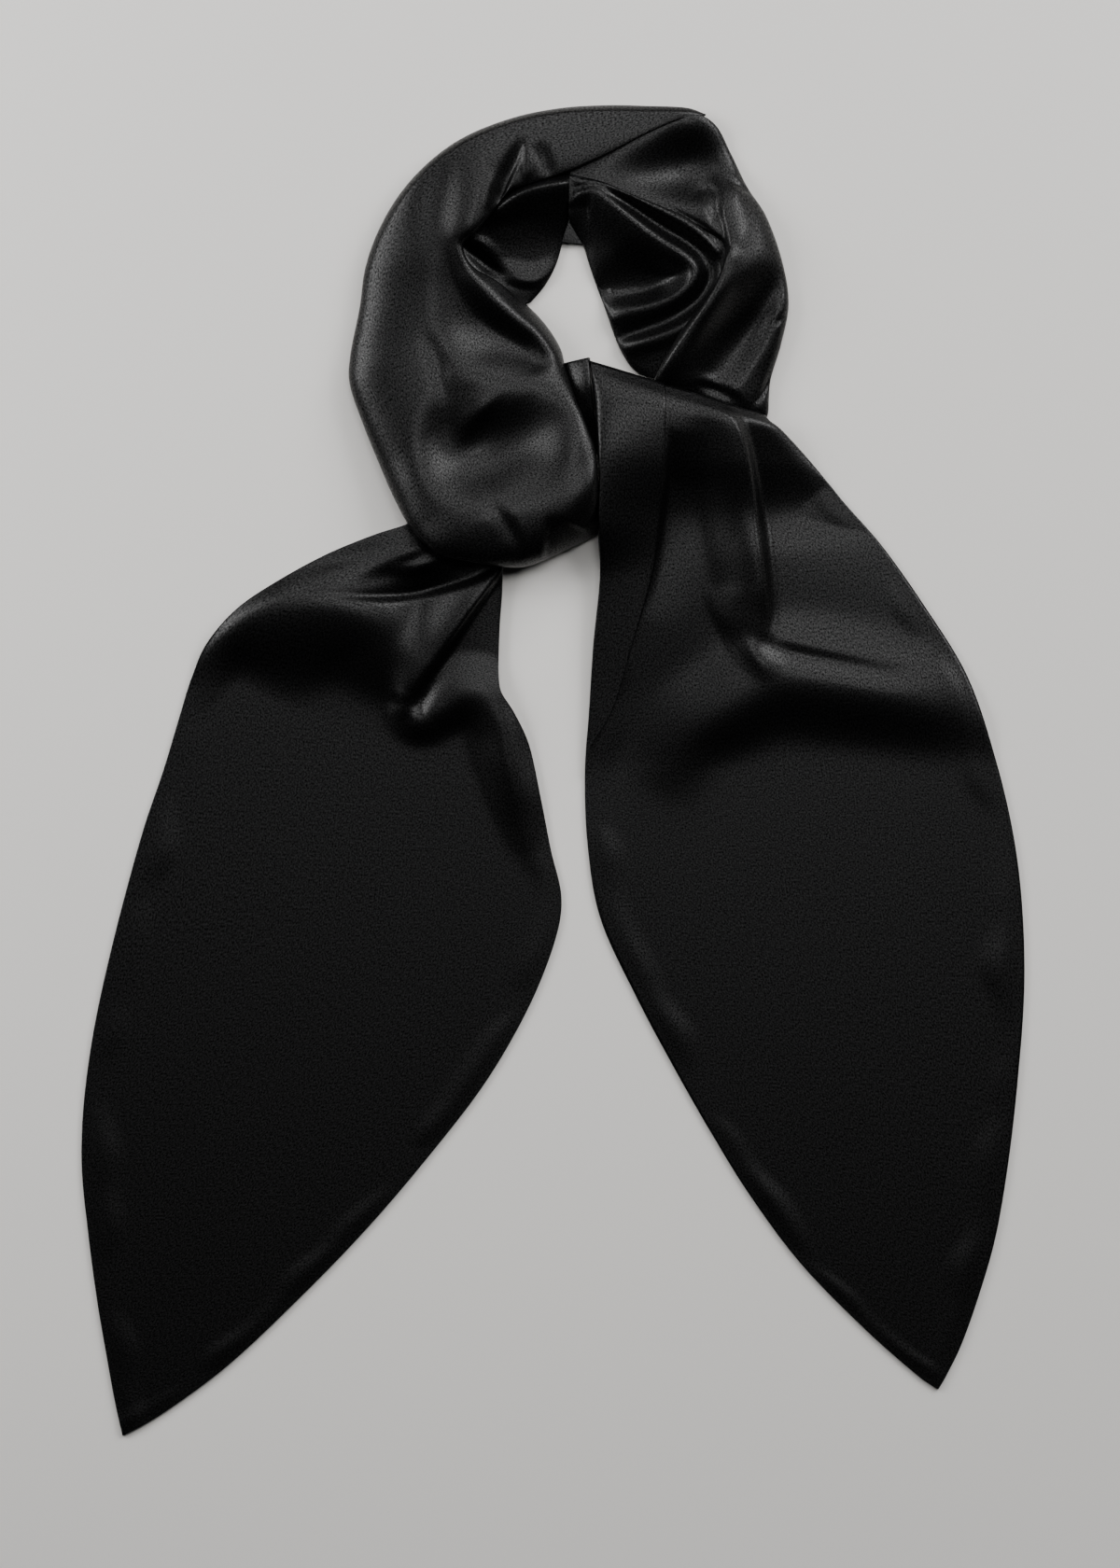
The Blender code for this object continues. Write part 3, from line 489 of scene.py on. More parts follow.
RING_RIGHT_FOLDS = (
    Fold("long hollow", "broad", (
        (64, 171, 0, 10, 8), (75, 184, -6, 20, 12), (86, 198, -9, 24, 12), (94, 211, -9, 22, 12),
        (101, 225, -6, 18, 10), (105, 239, 0, 12, 8))),
    Fold("hook", "soft", (
        (64, 268, 0, 3, 3), (69, 273, -0.8, 3, 4), (74, 274, -1.1, 3, 4), (77, 270, -1.5, 3, 4),
        (78, 262, -1.6, 2.5, 4), (79.5, 254, -1.6, 2.5, 4), (81, 246, -1, 2.5, 3))),
    Fold("dip in the panel", "broad", (
        (22, 277, 0, 6, 6), (36, 280, -2, 14, 10), (50, 281, -6, 20, 18), (62, 283, -10, 24, 24),
        (74, 283, -8, 22, 22), (82, 281, -4, 18, 16), (90, 280, 0, 12, 10))),
    Fold("outer lip", "soft", (
        (74, 302, 0, 6, 8), (80, 287, 1.2, 8, 11), (85, 270, 1.6, 8, 12), (88, 256, 1.2, 8, 12),
        (89, 244, 0, 7, 9))),
    Fold("outer pucker", "crease", (
        (82, 279, 0, 2, 2), (86, 276, -1.5, 2, 3), (91, 273, -1.5, 2, 3), (95, 270, 0, 2, 2))),
    Fold("lit edge", "soft", (
        (50, 186, 1.5, 4, 9), (58, 198, 2.5, 4, 11), (68, 212, 3, 5, 12), (76, 226, 3, 5, 12),
        (81, 240, 1.5, 4, 9))),
    Fold("fine crease", "crease", (
        (50, 267, 0, 1.5, 2), (60, 262, -0.8, 1.5, 2.5), (72, 255, -0.8, 1.5, 2.5),
        (79, 249, 0, 1.5, 2))),
    Fold("fold mouth", "soft", (
        (65, 181, 0, 2, 3), (72, 180, -2, 3, 4), (80, 177.5, -2.8, 3, 5), (86, 174, -2, 3, 4),
        (89, 171, 0, 3, 3))),
    Fold("lip of the mouth", "soft", (
        (65, 185, 0, 2, 3), (74, 184, 0.6, 3, 4), (82, 182, 0.6, 3, 4), (90, 178, 0, 2, 3))),
    Fold("second layer", "crease", (
        (103, 190, 0, 2, 2), (100, 180, -2, 2, 3), (96, 174, -2, 2, 3), (93, 170, 0, 2, 2))),
    Fold("pinch at the edge", "crease", (
        (110, 214, -1.5, 2, 3), (107, 212, -1.5, 2, 3), (103, 208, 0, 2, 3))),
    Fold("eye of the hook", "soft", (
        (70.5, 276, 0, 3, 3), (73, 270, -2, 5, 4), (75, 262, -2.6, 5, 4), (76, 254, 0, 3, 3))),
)
ring_right = heap("scarf_ring_right", RING_RIGHT, RING_RIGHT_FOLDS, cell=1.2, columns=61)

# %% [markdown]
# ## Inside the loop
#
# Two stretches fill the loop between its outer strands and the small hole that
# is left, and both slope down to the table at the hole. The left one, drawn
# here, dives under the outer strand at a dark pocket. Only its right edge is
# turned under, as the strand covers the other.

# %% Ring, inner left
RING_INNER_LEFT = (
    Section(-12.0, 279.5, 8.5, 281.5, 8.0, 9.0, 8.0),
    Section(-14.5, 276.5, 7.8, 278.0, 9.0, 12.0, 11.0),
    Section(-23.5, 272.5, 7.6, 270.0, 8.5, 12.0, 8.5),
    Section(-31.0, 264.0, 7.4, 260.0, 7.5, 9.5, 5.0),
    Section(-38.0, 256.5, 5.0, 251.5, 6.0, 7.0, 2.6),
    Section(-44.0, 246.5, 3.0, 243.0, 4.0, 5.0, 2.0),
    Section(-40.5, 235.0, 0.0, 235.0, 3.0, 4.0, 1.8),
    Section(-28.5, 227.5, -4.5, 227.5, 3.0, 4.0, 1.8),
    Section(-15.0, 219.0, -10.5, 220.5, 2.5, 3.0, 2.0),
)
RING_INNER_LEFT_FOLDS = (
    Fold("rim", "soft", (
        (-33, 256, 0, 2, 5), (-27, 263, 2.5, 2.5, 9), (-18, 269.5, 4, 3, 13), (-8, 273.5, 5, 3, 17),
        (2, 275.5, 5, 3, 18), (8, 276, 3, 3, 12))),
    Fold("rise by the hole", "soft", (
        (-30, 238, 0, 6, 4), (-22, 234, 1.2, 9, 5), (-14, 231, 2, 10, 5), (-7, 231, 2, 10, 4),
        (0, 237, 0.8, 8, 4), (3, 243, 0, 5, 3))),
    Fold("pocket", "soft", (
        (-42, 247, -2, 3, 3), (-37, 243, -4, 4, 5), (-31, 238, -4, 5, 5), (-25, 234, -2, 4, 4),
        (-20, 231, 0, 3, 3))),
    Fold("facet", "soft", (
        (-40, 250, 0, 3, 3), (-34, 249, 1.5, 3, 4), (-30, 246, 1.5, 3, 4), (-26, 241, 0, 3, 3))),
)
ring_inner_left = heap(
    "scarf_ring_inner_left", RING_INNER_LEFT, RING_INNER_LEFT_FOLDS,
    cell=1.0, columns=49, left=False)

# %% [markdown]
# ## Inside the loop, on the right
#
# Here the strand's spare width is gathered into two folds nested like hairpins,
# with a bowl in the inner one. Each arm of a hairpin could be a stretch of its
# own. They are folds of one stretch, so that the satin runs on round the bends.

# %% Ring, inner right
RING_INNER_RIGHT = (
    Section(7.8, 259.0, 6.8, 280.5, 7.0, 10.5, 9.0),
    Section(10.3, 254.0, 22.5, 277.0, 4.0, 9.5, 10.0),
    Section(14.5, 246.5, 35.0, 271.5, 2.0, 9.5, 10.5),
    Section(16.5, 240.0, 51.0, 265.0, 2.0, 9.5, 11.0),
    Section(18.5, 234.0, 66.0, 258.5, 2.0, 9.5, 11.0),
    Section(21.0, 227.0, 82.0, 246.5, 2.0, 10.0, 11.0),
    Section(24.5, 217.5, 80.5, 230.5, 2.0, 10.0, 10.5),
    Section(28.5, 206.0, 72.5, 217.3, 2.0, 10.0, 10.5),
    Section(32.0, 197.5, 62.5, 205.0, 2.0, 9.5, 10.0),
    Section(36.5, 190.5, 54.5, 192.0, 2.0, 7.0, 8.5),
    Section(40.5, 186.6, 49.9, 184.0, 2.0, 5.0, 6.0),
)
RING_INNER_RIGHT_FOLDS = (
    Fold("inner hairpin", "soft", (
        (9, 268, 1, 3, 4), (15, 271.5, 2.6, 4, 9), (21, 270.5, 3.5, 5, 14), (34, 260.5, 3.8, 6, 18),
        (51, 248.5, 3.8, 6, 18), (60, 243, 3.6, 6, 14), (65, 237, 3.6, 6, 11),
        (64.5, 230, 3.4, 6.5, 9), (58, 224, 3, 7, 9), (47, 219.5, 2.6, 7.5, 9),
        (36, 216, 2.2, 7.5, 9), (27, 212.5, 1.6, 6, 8), (24, 211, 0, 5, 6))),
    Fold("bowl in the hairpin", "broad", (
        (18, 228, 0, 14, 6), (28, 226, -4, 22, 8), (40, 226, -7.5, 28, 9), (52, 229, -7, 24, 9),
        (60, 233, -3, 12, 6), (64, 237, 0, 6, 4))),
    Fold("trough between", "soft", (
        (26, 272.5, 0, 3, 3), (35, 267, -2, 4, 5), (49, 257.5, -3.4, 5, 7), (63, 249, -4, 5, 7),
        (72, 241, -4.2, 5, 7), (74, 232, -4.2, 5.5, 7), (69, 222, -3.6, 6, 6),
        (58, 213.5, -2.8, 6, 6), (46, 208.5, -2.4, 5.5, 6), (36, 205.5, -2, 5, 5.5),
        (30, 203, 0, 4, 4))),
    Fold("outer hairpin, upper arm", "soft", (
        (12, 277, 0.5, 2, 3), (25, 275, 1.5, 3, 5), (40, 268.5, 2, 3, 5), (55, 261.5, 2, 3, 6),
        (68, 253.5, 2, 3, 6), (77, 244, 1.5, 2, 4))),
    Fold("outer hairpin, lower arm", "soft", (
        (30, 197.5, 0.8, 6, 5), (38, 200, 1.8, 7, 6), (48, 203, 2.2, 7, 7), (58, 207, 2.2, 7, 7),
        (67, 213, 2, 6, 7), (73, 220, 1.2, 5, 6), (76, 228, 0, 4, 4))),
)
ring_inner_right = heap(
    "scarf_ring_inner_right", RING_INNER_RIGHT, RING_INNER_RIGHT_FOLDS,
    cell=0.9, columns=75, right=False)

# %% [markdown]
# ## Two scraps between the others
#
# A scrap of the layer below shows in the notch at the top of the hole. A narrow
# strip of the right end shows beside the knot, where it comes up through the
# loop. Both are nearly flat and their neighbours cover their edges, so they
# need no folds and no turned-under edges.

# %% Under layer and the strip beside the knot
RING_UNDER_LAYER = (
    Section(6.5, 264.0, 9.0, 264.0, 2.5, 2.6, 2.5),
    Section(4.0, 254.0, 12.5, 253.5, 2.5, 3.0, 2.5),
    Section(2.8, 248.8, 15.0, 247.2, 2.4, 2.9, 2.4),
)
ring_under_layer = heap(
    "scarf_ring_under_layer", RING_UNDER_LAYER, (),
    cell=0.8, columns=15, left=False, right=False)

KNOT_STRIP = (
    Section(5.4, 189.5, 16.9, 191.0, 4.0, 6.0, 5.0),
    Section(5.4, 191.8, 16.7, 194.3, 6.0, 10.0, 10.0),
    Section(6.9, 181.0, 17.9, 183.0, 8.0, 13.0, 13.0),
    Section(10.5, 170.5, 19.0, 172.0, 9.0, 12.0, 12.0),
    Section(15.0, 158.5, 20.6, 158.5, 8.0, 9.0, 9.0),
    Section(18.5, 150.5, 21.8, 150.5, 6.0, 7.0, 7.0),
)
knot_strip = heap(
    "scarf_knot_strip", KNOT_STRIP, (),
    cell=0.8, columns=21, left=False, right=False)

# %% [markdown]
# ## The right end
#
# It comes up through the loop, folds over the knot and falls to its point. One
# ridge stands along it below the knot, and a longer one crosses it where the
# cloth comes down to the table. The rest lies flat. Its left edge is turned
# over on top for a hand's length, so its sections have one column more: the
# share of the width that the turned-over edge covers. One line of the grid runs
# along that share, ready for the strip that is made next.

# %% Right end
FlapSection = namedtuple("FlapSection", Section._fields + ("flap",))
TAIL_RIGHT = (
    FlapSection(18.5, 188.5, 97.5, 163.5, 3.0, 4.0, 3.0, 0.43),
    FlapSection(16.6, 193.0, 99.5, 167.3, 8.0, 11.0, 7.0, 0.43),
    FlapSection(17.0, 189.5, 102.0, 164.5, 9.5, 13.5, 8.0, 0.42),
    FlapSection(19.0, 175.0, 108.0, 160.0, 13.5, 17.5, 6.0, 0.38),
    FlapSection(21.0, 148.0, 121.0, 146.0, 19.0, 14.5, 2.4, 0.316),
    FlapSection(22.0, 117.0, 137.5, 126.0, 18.0, 6.4, 1.6, 0.248),
    FlapSection(22.0, 90.5, 155.0, 106.0, 8.0, 5.6, 1.6, 0.19),
    FlapSection(19.0, 60.0, 174.5, 78.5, 5.0, 4.4, 1.6, 0.124),
    FlapSection(17.0, 29.0, 194.5, 46.0, 3.0, 2.6, 1.6, 0.066),
    FlapSection(15.0, -2.0, 207.5, 9.0, 1.6, 1.6, 1.6, 0.003),
    FlapSection(16.5, -37.0, 216.5, -28.0, 1.6, 1.6, 1.6, 0.2),
    FlapSection(22.5, -70.0, 221.0, -63.5, 1.6, 1.6, 1.6, 0.3),
    FlapSection(38.5, -105.0, 222.0, -103.0, 1.6, 1.6, 1.6, 0.3),
    FlapSection(56.0, -138.0, 219.0, -145.0, 1.6, 1.6, 1.6, 0.3),
    FlapSection(74.5, -170.5, 214.5, -184.5, 1.6, 1.6, 1.6, 0.3),
    FlapSection(93.5, -201.0, 208.5, -219.5, 1.6, 1.6, 1.6, 0.3),
    FlapSection(117.5, -233.0, 200.5, -247.5, 1.6, 1.6, 1.6, 0.3),
    FlapSection(148.5, -264.5, 192.5, -270.0, 1.6, 1.6, 1.6, 0.3),
    FlapSection(172.5, -285.5, 185.5, -284.5, 1.6, 1.6, 1.6, 0.3),
    FlapSection(180.8, -291.2, 181.6, -291.2, 1.6, 1.6, 1.6, 0.3),
)
TAIL_RIGHT_FOLDS = (
    Fold("standing ridge", "soft", (
        (58, 178, 0, 8, 14), (70, 175, 1, 8, 18), (80, 168, 3, 7, 22), (87, 158, 5, 6, 24),
        (91, 144, 6.5, 5.5, 26), (94, 126, 7.4, 5.5, 28), (97, 102, 7.8, 5.5, 27),
        (98.5, 84, 7.2, 6, 26), (98, 71, 3.6, 7, 24), (97, 61, 0.4, 6, 16))),
    Fold("hollow beside the flap", "soft", (
        (55, 160, 0, 14, 2), (55.5, 150, -2.5, 24, 2), (54.5, 136, -5, 32, 2),
        (52.5, 118, -4, 32, 2), (49.5, 97, -1.8, 28, 2), (46, 83, -0.8, 24, 2),
        (42.5, 72, 0, 18, 2))),
    Fold("rise over the short fold", "soft", (
        (73, 86, 0, 10, 3), (77, 78, 1.6, 20, 4), (84, 67, 3, 24, 5), (91, 57, 2.8, 22, 6),
        (98, 50, 1.8, 16, 7), (104, 43, 0, 12, 7))),
    Fold("long ridge", "broad", (
        (52, -14, 0, 16, 12), (60, 4, 2.5, 24, 16), (69, 19, 4.5, 30, 20), (84, 29, 6, 32, 24),
        (98, 38, 6.5, 34, 27), (110, 42, 7, 36, 29), (136, 39, 7, 36, 28), (158, 35.5, 6.6, 34, 27),
        (180, 31, 5, 28, 26), (198, 25, 2, 18, 22))),
    Fold("upper trough", "soft", (
        (96, 64, 0, 4, 6), (103, 59, -1.6, 4.5, 9), (114, 55.5, -2.2, 4.5, 10),
        (136, 51, -1.8, 4.5, 10), (160, 46, -1, 5, 10), (172, 44, 0, 6, 8))),
)


TAIL_CELL = 1.8
FLAP_COLUMNS, TAIL_COLUMNS = 31, 125
LEAST_FLAP = 0.002        # of the width, so that no column has the same place as the next


def flap_shares(table, rows, flap_columns, columns):
    """The first columns end at the turned-over edge, the others cover the rest."""
    flap = np.clip(curve([(s.flap,) for s in table], rows), LEAST_FLAP, None)
    inner = np.linspace(0, 1, flap_columns)[None, :]
    outer = np.linspace(0, 1, columns - flap_columns + 1)[None, 1:]
    return np.hstack([flap * inner, flap + (1 - flap) * outer])


tail_rows = even_rows(TAIL_RIGHT, TAIL_CELL)
right_shares = flap_shares(TAIL_RIGHT, tail_rows, FLAP_COLUMNS, TAIL_COLUMNS)
right_grid = lifted(TAIL_RIGHT, TAIL_RIGHT_FOLDS, tail_rows, right_shares, AIR + TAIL_WALL)
tail_right = cloth_mesh("scarf_tail_right", hemmed(right_grid, HEM_HEIGHT, 0.0), TAIL_WALL)

# %% [markdown]
# ## The turned-over edge
#
# A strip drawn by itself would part from the end at the first fold. So it takes
# the first columns of the end's own grid, and is lifted clear of them by its
# own thickness and a little air.

# %% Turned-over edge
FLAP_END_SECTION = 9.0    # where the turned-over edge runs out
FLAP_AIR = 0.6
FLAP_ROWS = int(np.searchsorted(tail_rows, FLAP_END_SECTION))
flap_grid = right_grid[:FLAP_ROWS, :FLAP_COLUMNS] + (0, 0, HEAP_WALL + FLAP_AIR)
tail_right_flap = cloth_mesh("scarf_tail_right_flap", flap_grid, HEAP_WALL)

# %% [markdown]
# ## The left end
#
# It comes out from under the knot as a raised fold. The fold breaks over a
# small lower panel with a sharp edge, ends in a lip shaped like an S, and runs
# on as a ridge along the right edge. Below that it lies flat to its point.

# %% Left end
TAIL_LEFT = (
    Section(-60.0, 121.0, -20.0, 101.0, 4.0, 5.0, 4.0),
    Section(-69.0, 116.0, -23.3, 95.5, 5.0, 6.0, 5.5),
    Section(-84.5, 111.0, -24.0, 82.0, 5.0, 6.5, 4.5),
    Section(-106.5, 102.0, -25.0, 68.5, 4.5, 6.0, 4.0),
    Section(-128.5, 90.0, -25.5, 55.5, 4.0, 5.0, 4.0),
    Section(-148.5, 76.5, -25.5, 44.5, 3.0, 3.5, 4.0),
    Section(-163.0, 60.0, -24.0, 36.5, 2.0, 2.4, 3.5),
    Section(-170.5, 43.0, -18.0, 27.0, 1.6, 1.8, 2.5),
    Section(-176.0, 25.5, -11.0, 11.5, 1.6, 1.6, 2.0),
    Section(-183.5, 0.5, -5.5, -14.0, 1.6, 1.6, 1.8),
    Section(-192.5, -26.0, -1.0, -37.0, 1.6, 1.6, 1.6),
    Section(-201.5, -58.0, 4.0, -60.0, 1.6, 1.6, 1.6),
    Section(-210.0, -92.0, 0.5, -81.5, 1.6, 1.6, 1.6),
    Section(-216.5, -123.0, -12.0, -112.5, 1.6, 1.6, 1.6),
    Section(-221.0, -156.0, -32.0, -147.0, 1.6, 1.6, 1.6),
    Section(-222.0, -186.5, -58.5, -181.5, 1.6, 1.6, 1.6),
    Section(-219.0, -217.5, -88.0, -216.0, 1.6, 1.6, 1.6),
    Section(-215.0, -248.0, -120.0, -249.0, 1.6, 1.6, 1.6),
    Section(-210.5, -274.5, -153.0, -280.0, 1.6, 1.6, 1.6),
    Section(-206.5, -296.5, -183.5, -302.5, 1.6, 1.6, 1.6),
    Section(-202.8, -313.0, -202.0, -313.0, 1.6, 1.6, 1.6),
)
TAIL_LEFT_FOLDS = (
    Fold("broad shelf", "broad", (
        (-165, 52, 1, 6, 12), (-150, 67, 6, 14, 32), (-128, 75, 9, 22, 46),
        (-103, 75.5, 9.5, 28, 43),
        (-87, 70, 8.5, 28, 40), (-78, 56, 6, 24, 33), (-72, 42, 3, 12, 22), (-69, 32, 0, 8, 14))),
    Fold("edge over the panel", "soft", (
        (-24, 96, 2, 3, 10), (-35, 80, 6, 2.5, 22), (-46, 64, 7, 2.2, 26), (-57, 48, 7, 2.2, 24),
        (-66, 35, 6, 2.5, 16), (-69, 29, 3, 4, 8))),
    Fold("lip and edge ridge", "soft", (
        (-69.5, 34, 1.5, 4, 9), (-67.5, 26.5, 3.6, 7, 12), (-62, 23, 5, 12, 12),
        (-54, 28, 5.6, 18, 14), (-44, 34, 5.6, 24, 17), (-34, 32.5, 5.6, 24, 20),
        (-26, 23, 6, 17, 20), (-22.5, 4, 5.4, 17, 15), (-18.5, -12, 3.8, 17, 14),
        (-15, -26, 1.8, 14, 12), (-12, -40, 0, 10, 10))),
    Fold("valley at the knot", "crease", (
        (-112, 83, 0, 4, 3), (-84, 82, -3, 8, 4), (-67, 83, -4, 14, 4), (-54, 86, -5, 18, 4),
        (-40, 90, -4.5, 18, 4), (-28, 95, -2, 12, 3))),
    Fold("pleat", "soft", (
        (-58, 108, 0, 8, 7), (-68, 103, 2, 8, 8), (-84, 97, 2.5, 9, 8), (-104, 92, 1.5, 9, 8),
        (-118, 88, 0, 8, 8))),
    Fold("oval fold", "soft", (
        (-78, 95, 0, 4, 4), (-68, 95, 1.4, 5, 5), (-60, 97, 1.4, 5, 5), (-52, 100, 0, 4, 4))),
)


LEFT_COLUMNS = 121
CROWDING = 0.7            # 0 spreads the columns evenly, and 1 crowds them most


def softly_crowded(rows, columns):
    """Columns that crowd a little towards both edges of a flat stretch."""
    t = np.linspace(0, 1, columns)
    return np.tile(t - CROWDING * np.sin(2 * math.pi * t) / (2 * math.pi), (len(rows), 1))


left_rows = even_rows(TAIL_LEFT, TAIL_CELL)
left_shares = softly_crowded(left_rows, LEFT_COLUMNS)
left_grid = lifted(TAIL_LEFT, TAIL_LEFT_FOLDS, left_rows, left_shares, AIR + TAIL_WALL)
tail_left = cloth_mesh("scarf_tail_left", hemmed(left_grid, HEM_HEIGHT, 2.0), TAIL_WALL)

# %% [markdown]
# ## Shader maths
#
# A material's maths is a tree of Math nodes, and a formula is hard to read when
# it is built one node at a time. Here a small class wraps a socket, and adding
# or multiplying two of them adds the node, so that the formulas of the satin
# below read as Python expressions. The reflected forms let a plain number stand
# first, as in 1 - mask.


# %% Shader maths
class Term:
    """A socket in a sum. Python's operators add Math nodes to its tree."""

    def __init__(self, tree, socket):
        self.tree, self.socket = tree, socket

    def node(self, kind, settings=None, **inputs):
        made = self.tree.nodes.new(kind)
        for name, value in (settings or {}).items():
            setattr(made, name, value)
        for name, value in inputs.items():
            key = int(name[1:]) if name[1:].isdigit() else name.replace("_", " ")
            if isinstance(value, Term):
                self.tree.links.new(value.socket, made.inputs[key])
            else:
                made.inputs[key].default_value = value
        return made

    def maths(self, operation, first, second):
        made = self.node("ShaderNodeMath", {"operation": operation}, i0=first, i1=second)
        return Term(self.tree, made.outputs[0])

    def __add__(self, other):
        return self.maths("ADD", self, other)

    def __mul__(self, other):
        return self.maths("MULTIPLY", self, other)

    def __sub__(self, other):
        return self.maths("SUBTRACT", self, other)

    def __rsub__(self, other):
        return self.maths("SUBTRACT", other, self)

    __radd__ = __add__
    __rmul__ = __mul__


# %% [markdown]
# ## Satin
#
# Satin's face is long warp threads that float over the weft, which is why it
# shines in broad soft bands and not in sharp spots. Black satin takes nearly
# all of its look from that shine. The base is almost black and hardly shines.
# Over it lies a coat with a broad soft shine, and a fine noise, a little longer
# along the cloth than across it, sets how much coat each bundle of threads has.
# That breaks the shine into grains. A bump alone made the cloth look like hide.

# %% Satin
THREAD = 0.00072          # pitch of the grain across the cloth, in metres
THREAD_ALONG = 0.7        # as many grains along the cloth, for each one across it
CONTRAST = 3.1            # of the grain
CLOUD_SCALE = 22.0        # of the slow changes in colour and roughness
DARK, LIGHT = (0.0003, 0.0003, 0.0003, 1.0), (0.0012, 0.0012, 0.0014, 1.0)
BASE_ROUGHNESS, CLOUD_ROUGHNESS = 0.28, 0.06
LEAST_COAT, GRAIN_COAT = 0.08, 0.85
BUMP_DISTANCE = 0.000025
SURFACE = {
    "Coat Roughness": 0.40,
    "Specular IOR Level": 0.04,
    "Sheen Weight": 0.004,
    "Sheen Roughness": 0.35,
    "Sheen Tint": (0.85, 0.88, 1.0, 1.0),
}


def satin(title):
    material = bpy.data.materials.new(title)
    material.use_nodes = True
    tree = material.node_tree
    shader = tree.nodes["Principled BSDF"]
    start = Term(tree, None)
    uv = Term(tree, start.node("ShaderNodeUVMap", {"uv_map": "cloth"}).outputs["UV"])
    pitch = (1 / THREAD, THREAD_ALONG / THREAD, 1.0)
    fine = Term(tree, start.node("ShaderNodeMapping", None, Vector=uv, Scale=pitch).outputs[0])
    threads = start.node("ShaderNodeTexNoise", None, Vector=fine, Scale=1.0, Detail=2.0)
    grain = (Term(tree, threads.outputs["Fac"]) - 0.5) * CONTRAST + 0.5
    broad = start.node("ShaderNodeTexNoise", None, Vector=uv, Scale=CLOUD_SCALE, Detail=3.0)
    cloud = Term(tree, broad.outputs["Fac"])
    mixture = grain * 0.7 + cloud * 0.3
    colour = start.node("ShaderNodeMix", {"data_type": "RGBA"}, Factor=mixture, i6=DARK, i7=LIGHT)
    tree.links.new(colour.outputs[2], shader.inputs["Base Color"])
    rough = cloud * CLOUD_ROUGHNESS + BASE_ROUGHNESS
    tree.links.new(rough.socket, shader.inputs["Roughness"])
    bump = start.node("ShaderNodeBump", None, Height=grain, Distance=BUMP_DISTANCE, Strength=1.0)
    tree.links.new(bump.outputs[0], shader.inputs["Normal"])
    coat = grain * GRAIN_COAT + LEAST_COAT
    tree.links.new(coat.socket, shader.inputs["Coat Weight"])
    for name, value in SURFACE.items():
        shader.inputs[name].default_value = value
    return material


black_satin = satin("black_satin")
print("satin with", len(black_satin.node_tree.nodes), "nodes")

# %% [markdown]
# ## Table
#
# The scarf lies on something, or its edges would have no shadow to end in. A
# plain pale surface does, far larger than the picture, so that its own edge
# never shows. It is only the stage.

# %% Table
TABLE_SIZE = 6.0          # metres
TABLE_COLOUR = (0.86, 0.84, 0.81, 1)
TABLE_ROUGHNESS = 0.7

bpy.ops.object.select_all(action="DESELECT")
bpy.ops.mesh.primitive_plane_add(size=TABLE_SIZE, location=(0, 0, 0))
table = bpy.context.active_object
table.name = "table"
paper = bpy.data.materials.new("pale_table")
paper.use_nodes = True
paper_shader = paper.node_tree.nodes["Principled BSDF"]
paper_shader.inputs["Base Color"].default_value = TABLE_COLOUR
paper_shader.inputs["Roughness"].default_value = TABLE_ROUGHNESS
table.data.materials.append(paper)
print("table", TABLE_SIZE, "m across")

# %% [markdown]
# ## Lights
#
# In the photograph the slopes that face the top of the picture shine, those
# that face the bottom go black, and flat cloth is a dark grey. So a broad key
# stands beyond the top, and a soft lamp nearly overhead, a little towards the
# top, gives the flat ends their grey. A lamp on each side picks out the loop's
# flanks. The sky is almost dark, because it would fill the blacks. One small
# lamp would be simpler, but satin mirrors its lamps, and a small one would show
# as a hard streak.

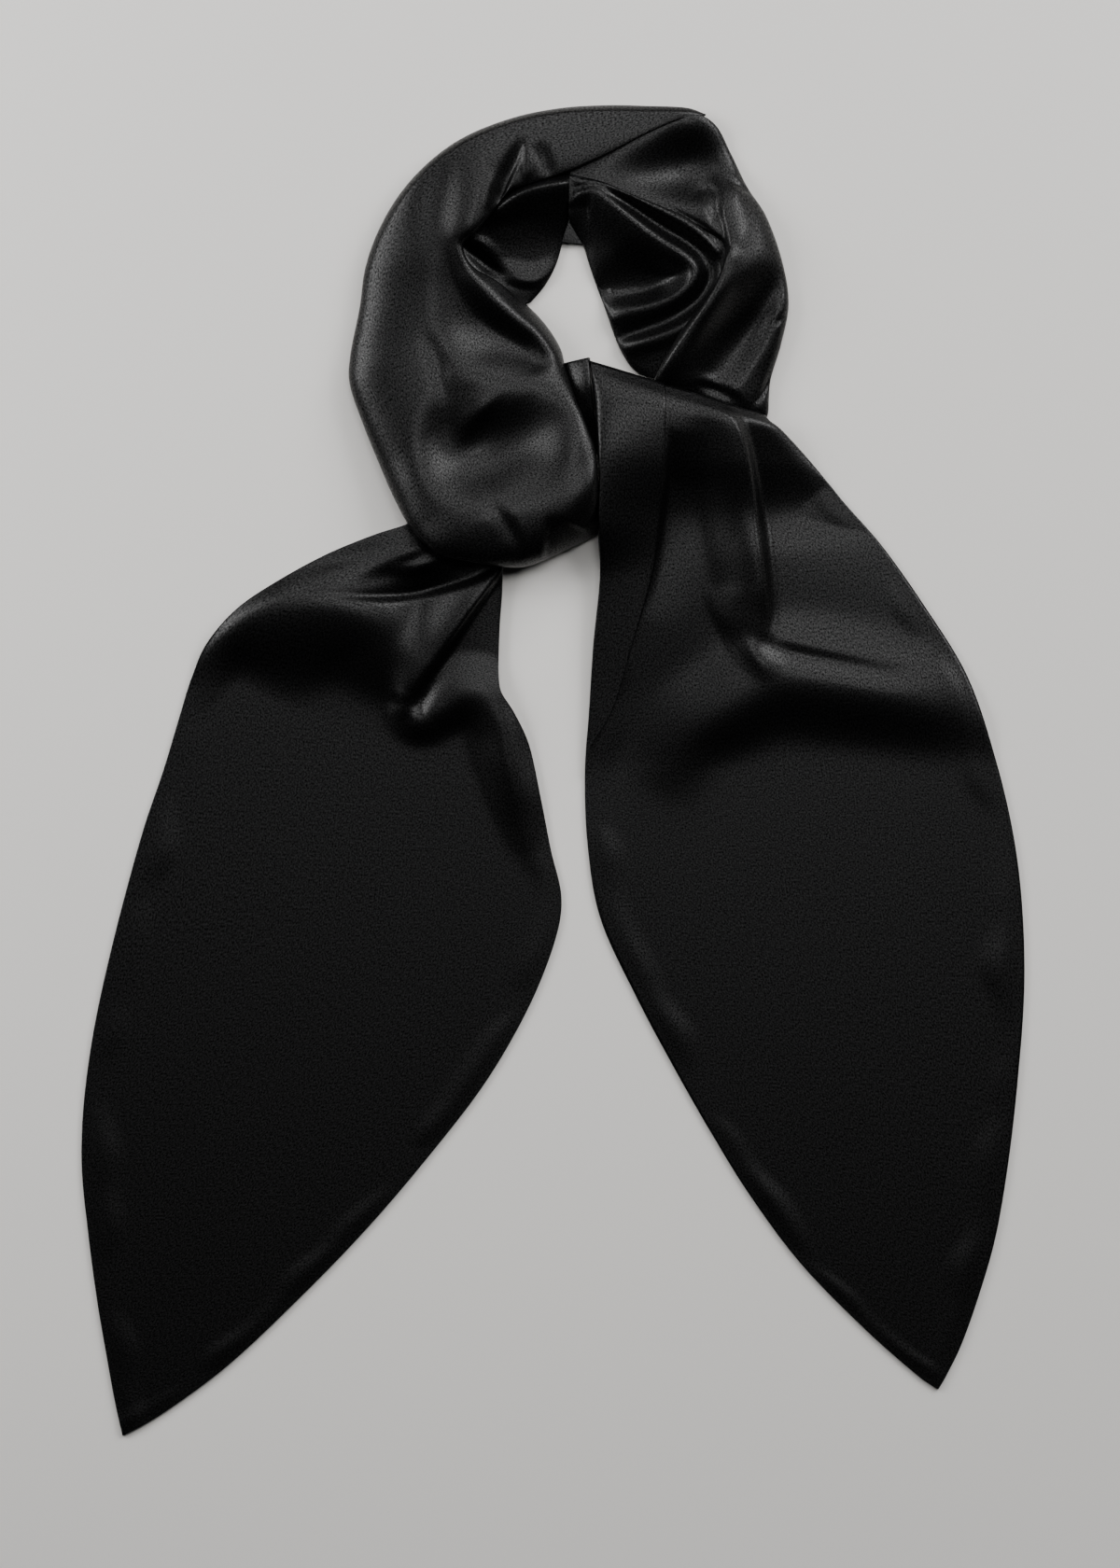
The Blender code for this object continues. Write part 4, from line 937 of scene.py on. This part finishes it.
# %% Lights
AIM = (0, 0, 0)
SKY_STRENGTH = 0.005
Lamp = namedtuple("Lamp", "name place size watts")   # places and sizes in metres
LAMPS = (
    Lamp("key", (0.0, 1.5, 1.3), (1.8, 1.2), 15.5),
    Lamp("left side", (-1.05, 0.5, 0.65), (0.7, 0.6), 11.5),
    Lamp("right side", (1.35, 1.2, 1.1), (1.1, 1.1), 33),
    Lamp("overhead", (0.15, 0.6, 1.9), (0.8, 0.5), 7.5),
)
for lamp in LAMPS:
    soft_box = bpy.data.lights.new(lamp.name, "AREA")
    soft_box.shape = "RECTANGLE"
    soft_box.size, soft_box.size_y = lamp.size
    soft_box.energy = lamp.watts
    light = bpy.data.objects.new(lamp.name, soft_box)
    light.location = lamp.place
    way = Vector(AIM) - Vector(lamp.place)
    light.rotation_euler = way.to_track_quat("-Z", "Y").to_euler()
    bpy.context.scene.collection.objects.link(light)
sky = bpy.data.worlds.new("sky")
sky.use_nodes = True
sky.node_tree.nodes["Background"].inputs["Color"].default_value = (1, 1, 1, 1)
sky.node_tree.nodes["Background"].inputs["Strength"].default_value = SKY_STRENGTH
bpy.context.scene.world = sky
print("lamps:", ", ".join(lamp.name for lamp in LAMPS))

# %% [markdown]
# ## What each piece stands for
#
# Each piece of cloth rides on the one rigid body and takes the place of its
# solid, which is hidden. Its flat size in metres is listed too, and printed
# beside its area: about the size, across and along, that the cloth which shows in it was cut to.

# %% Pieces in place of the solids
CLOTH = (
    (ring_left, "ring_left", (0.075, 0.440), "folded", ("table",)),
    (ring_right, "ring_right", (0.058, 0.200), "folded", ("table",)),
    (ring_inner_left, "ring_inner_left", (0.050, 0.072), "folded", ("table",)),
    (ring_inner_right, "ring_inner_right", (0.065, 0.100), "folded", ("table",)),
    (ring_under_layer, "ring_under_layer", (0.011, 0.012), "folded", ("table",)),
    (knot_strip, "knot_strip", (0.012, 0.040), "folded", ("scarf_ring_left",)),
    (tail_right, "tail_right", (0.200, 0.480), "laid", ("table",)),
    (tail_right_flap, "tail_right_flap", (0.034, 0.185), "folded", ("scarf_tail_right",)),
    (tail_left, "tail_left", (0.200, 0.440), "laid", ("table",)),
)
for piece, node, flat, held, rests_on in CLOTH:
    piece.data.materials.append(black_satin)
    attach(piece, "root")
    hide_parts(node)
    area = sum(face.area for face in piece.data.polygons) / 2
    print(node, "cloth", round(area * 1e4), "cm2, box", round(flat[0] * flat[1] * 1e4), "cm2")
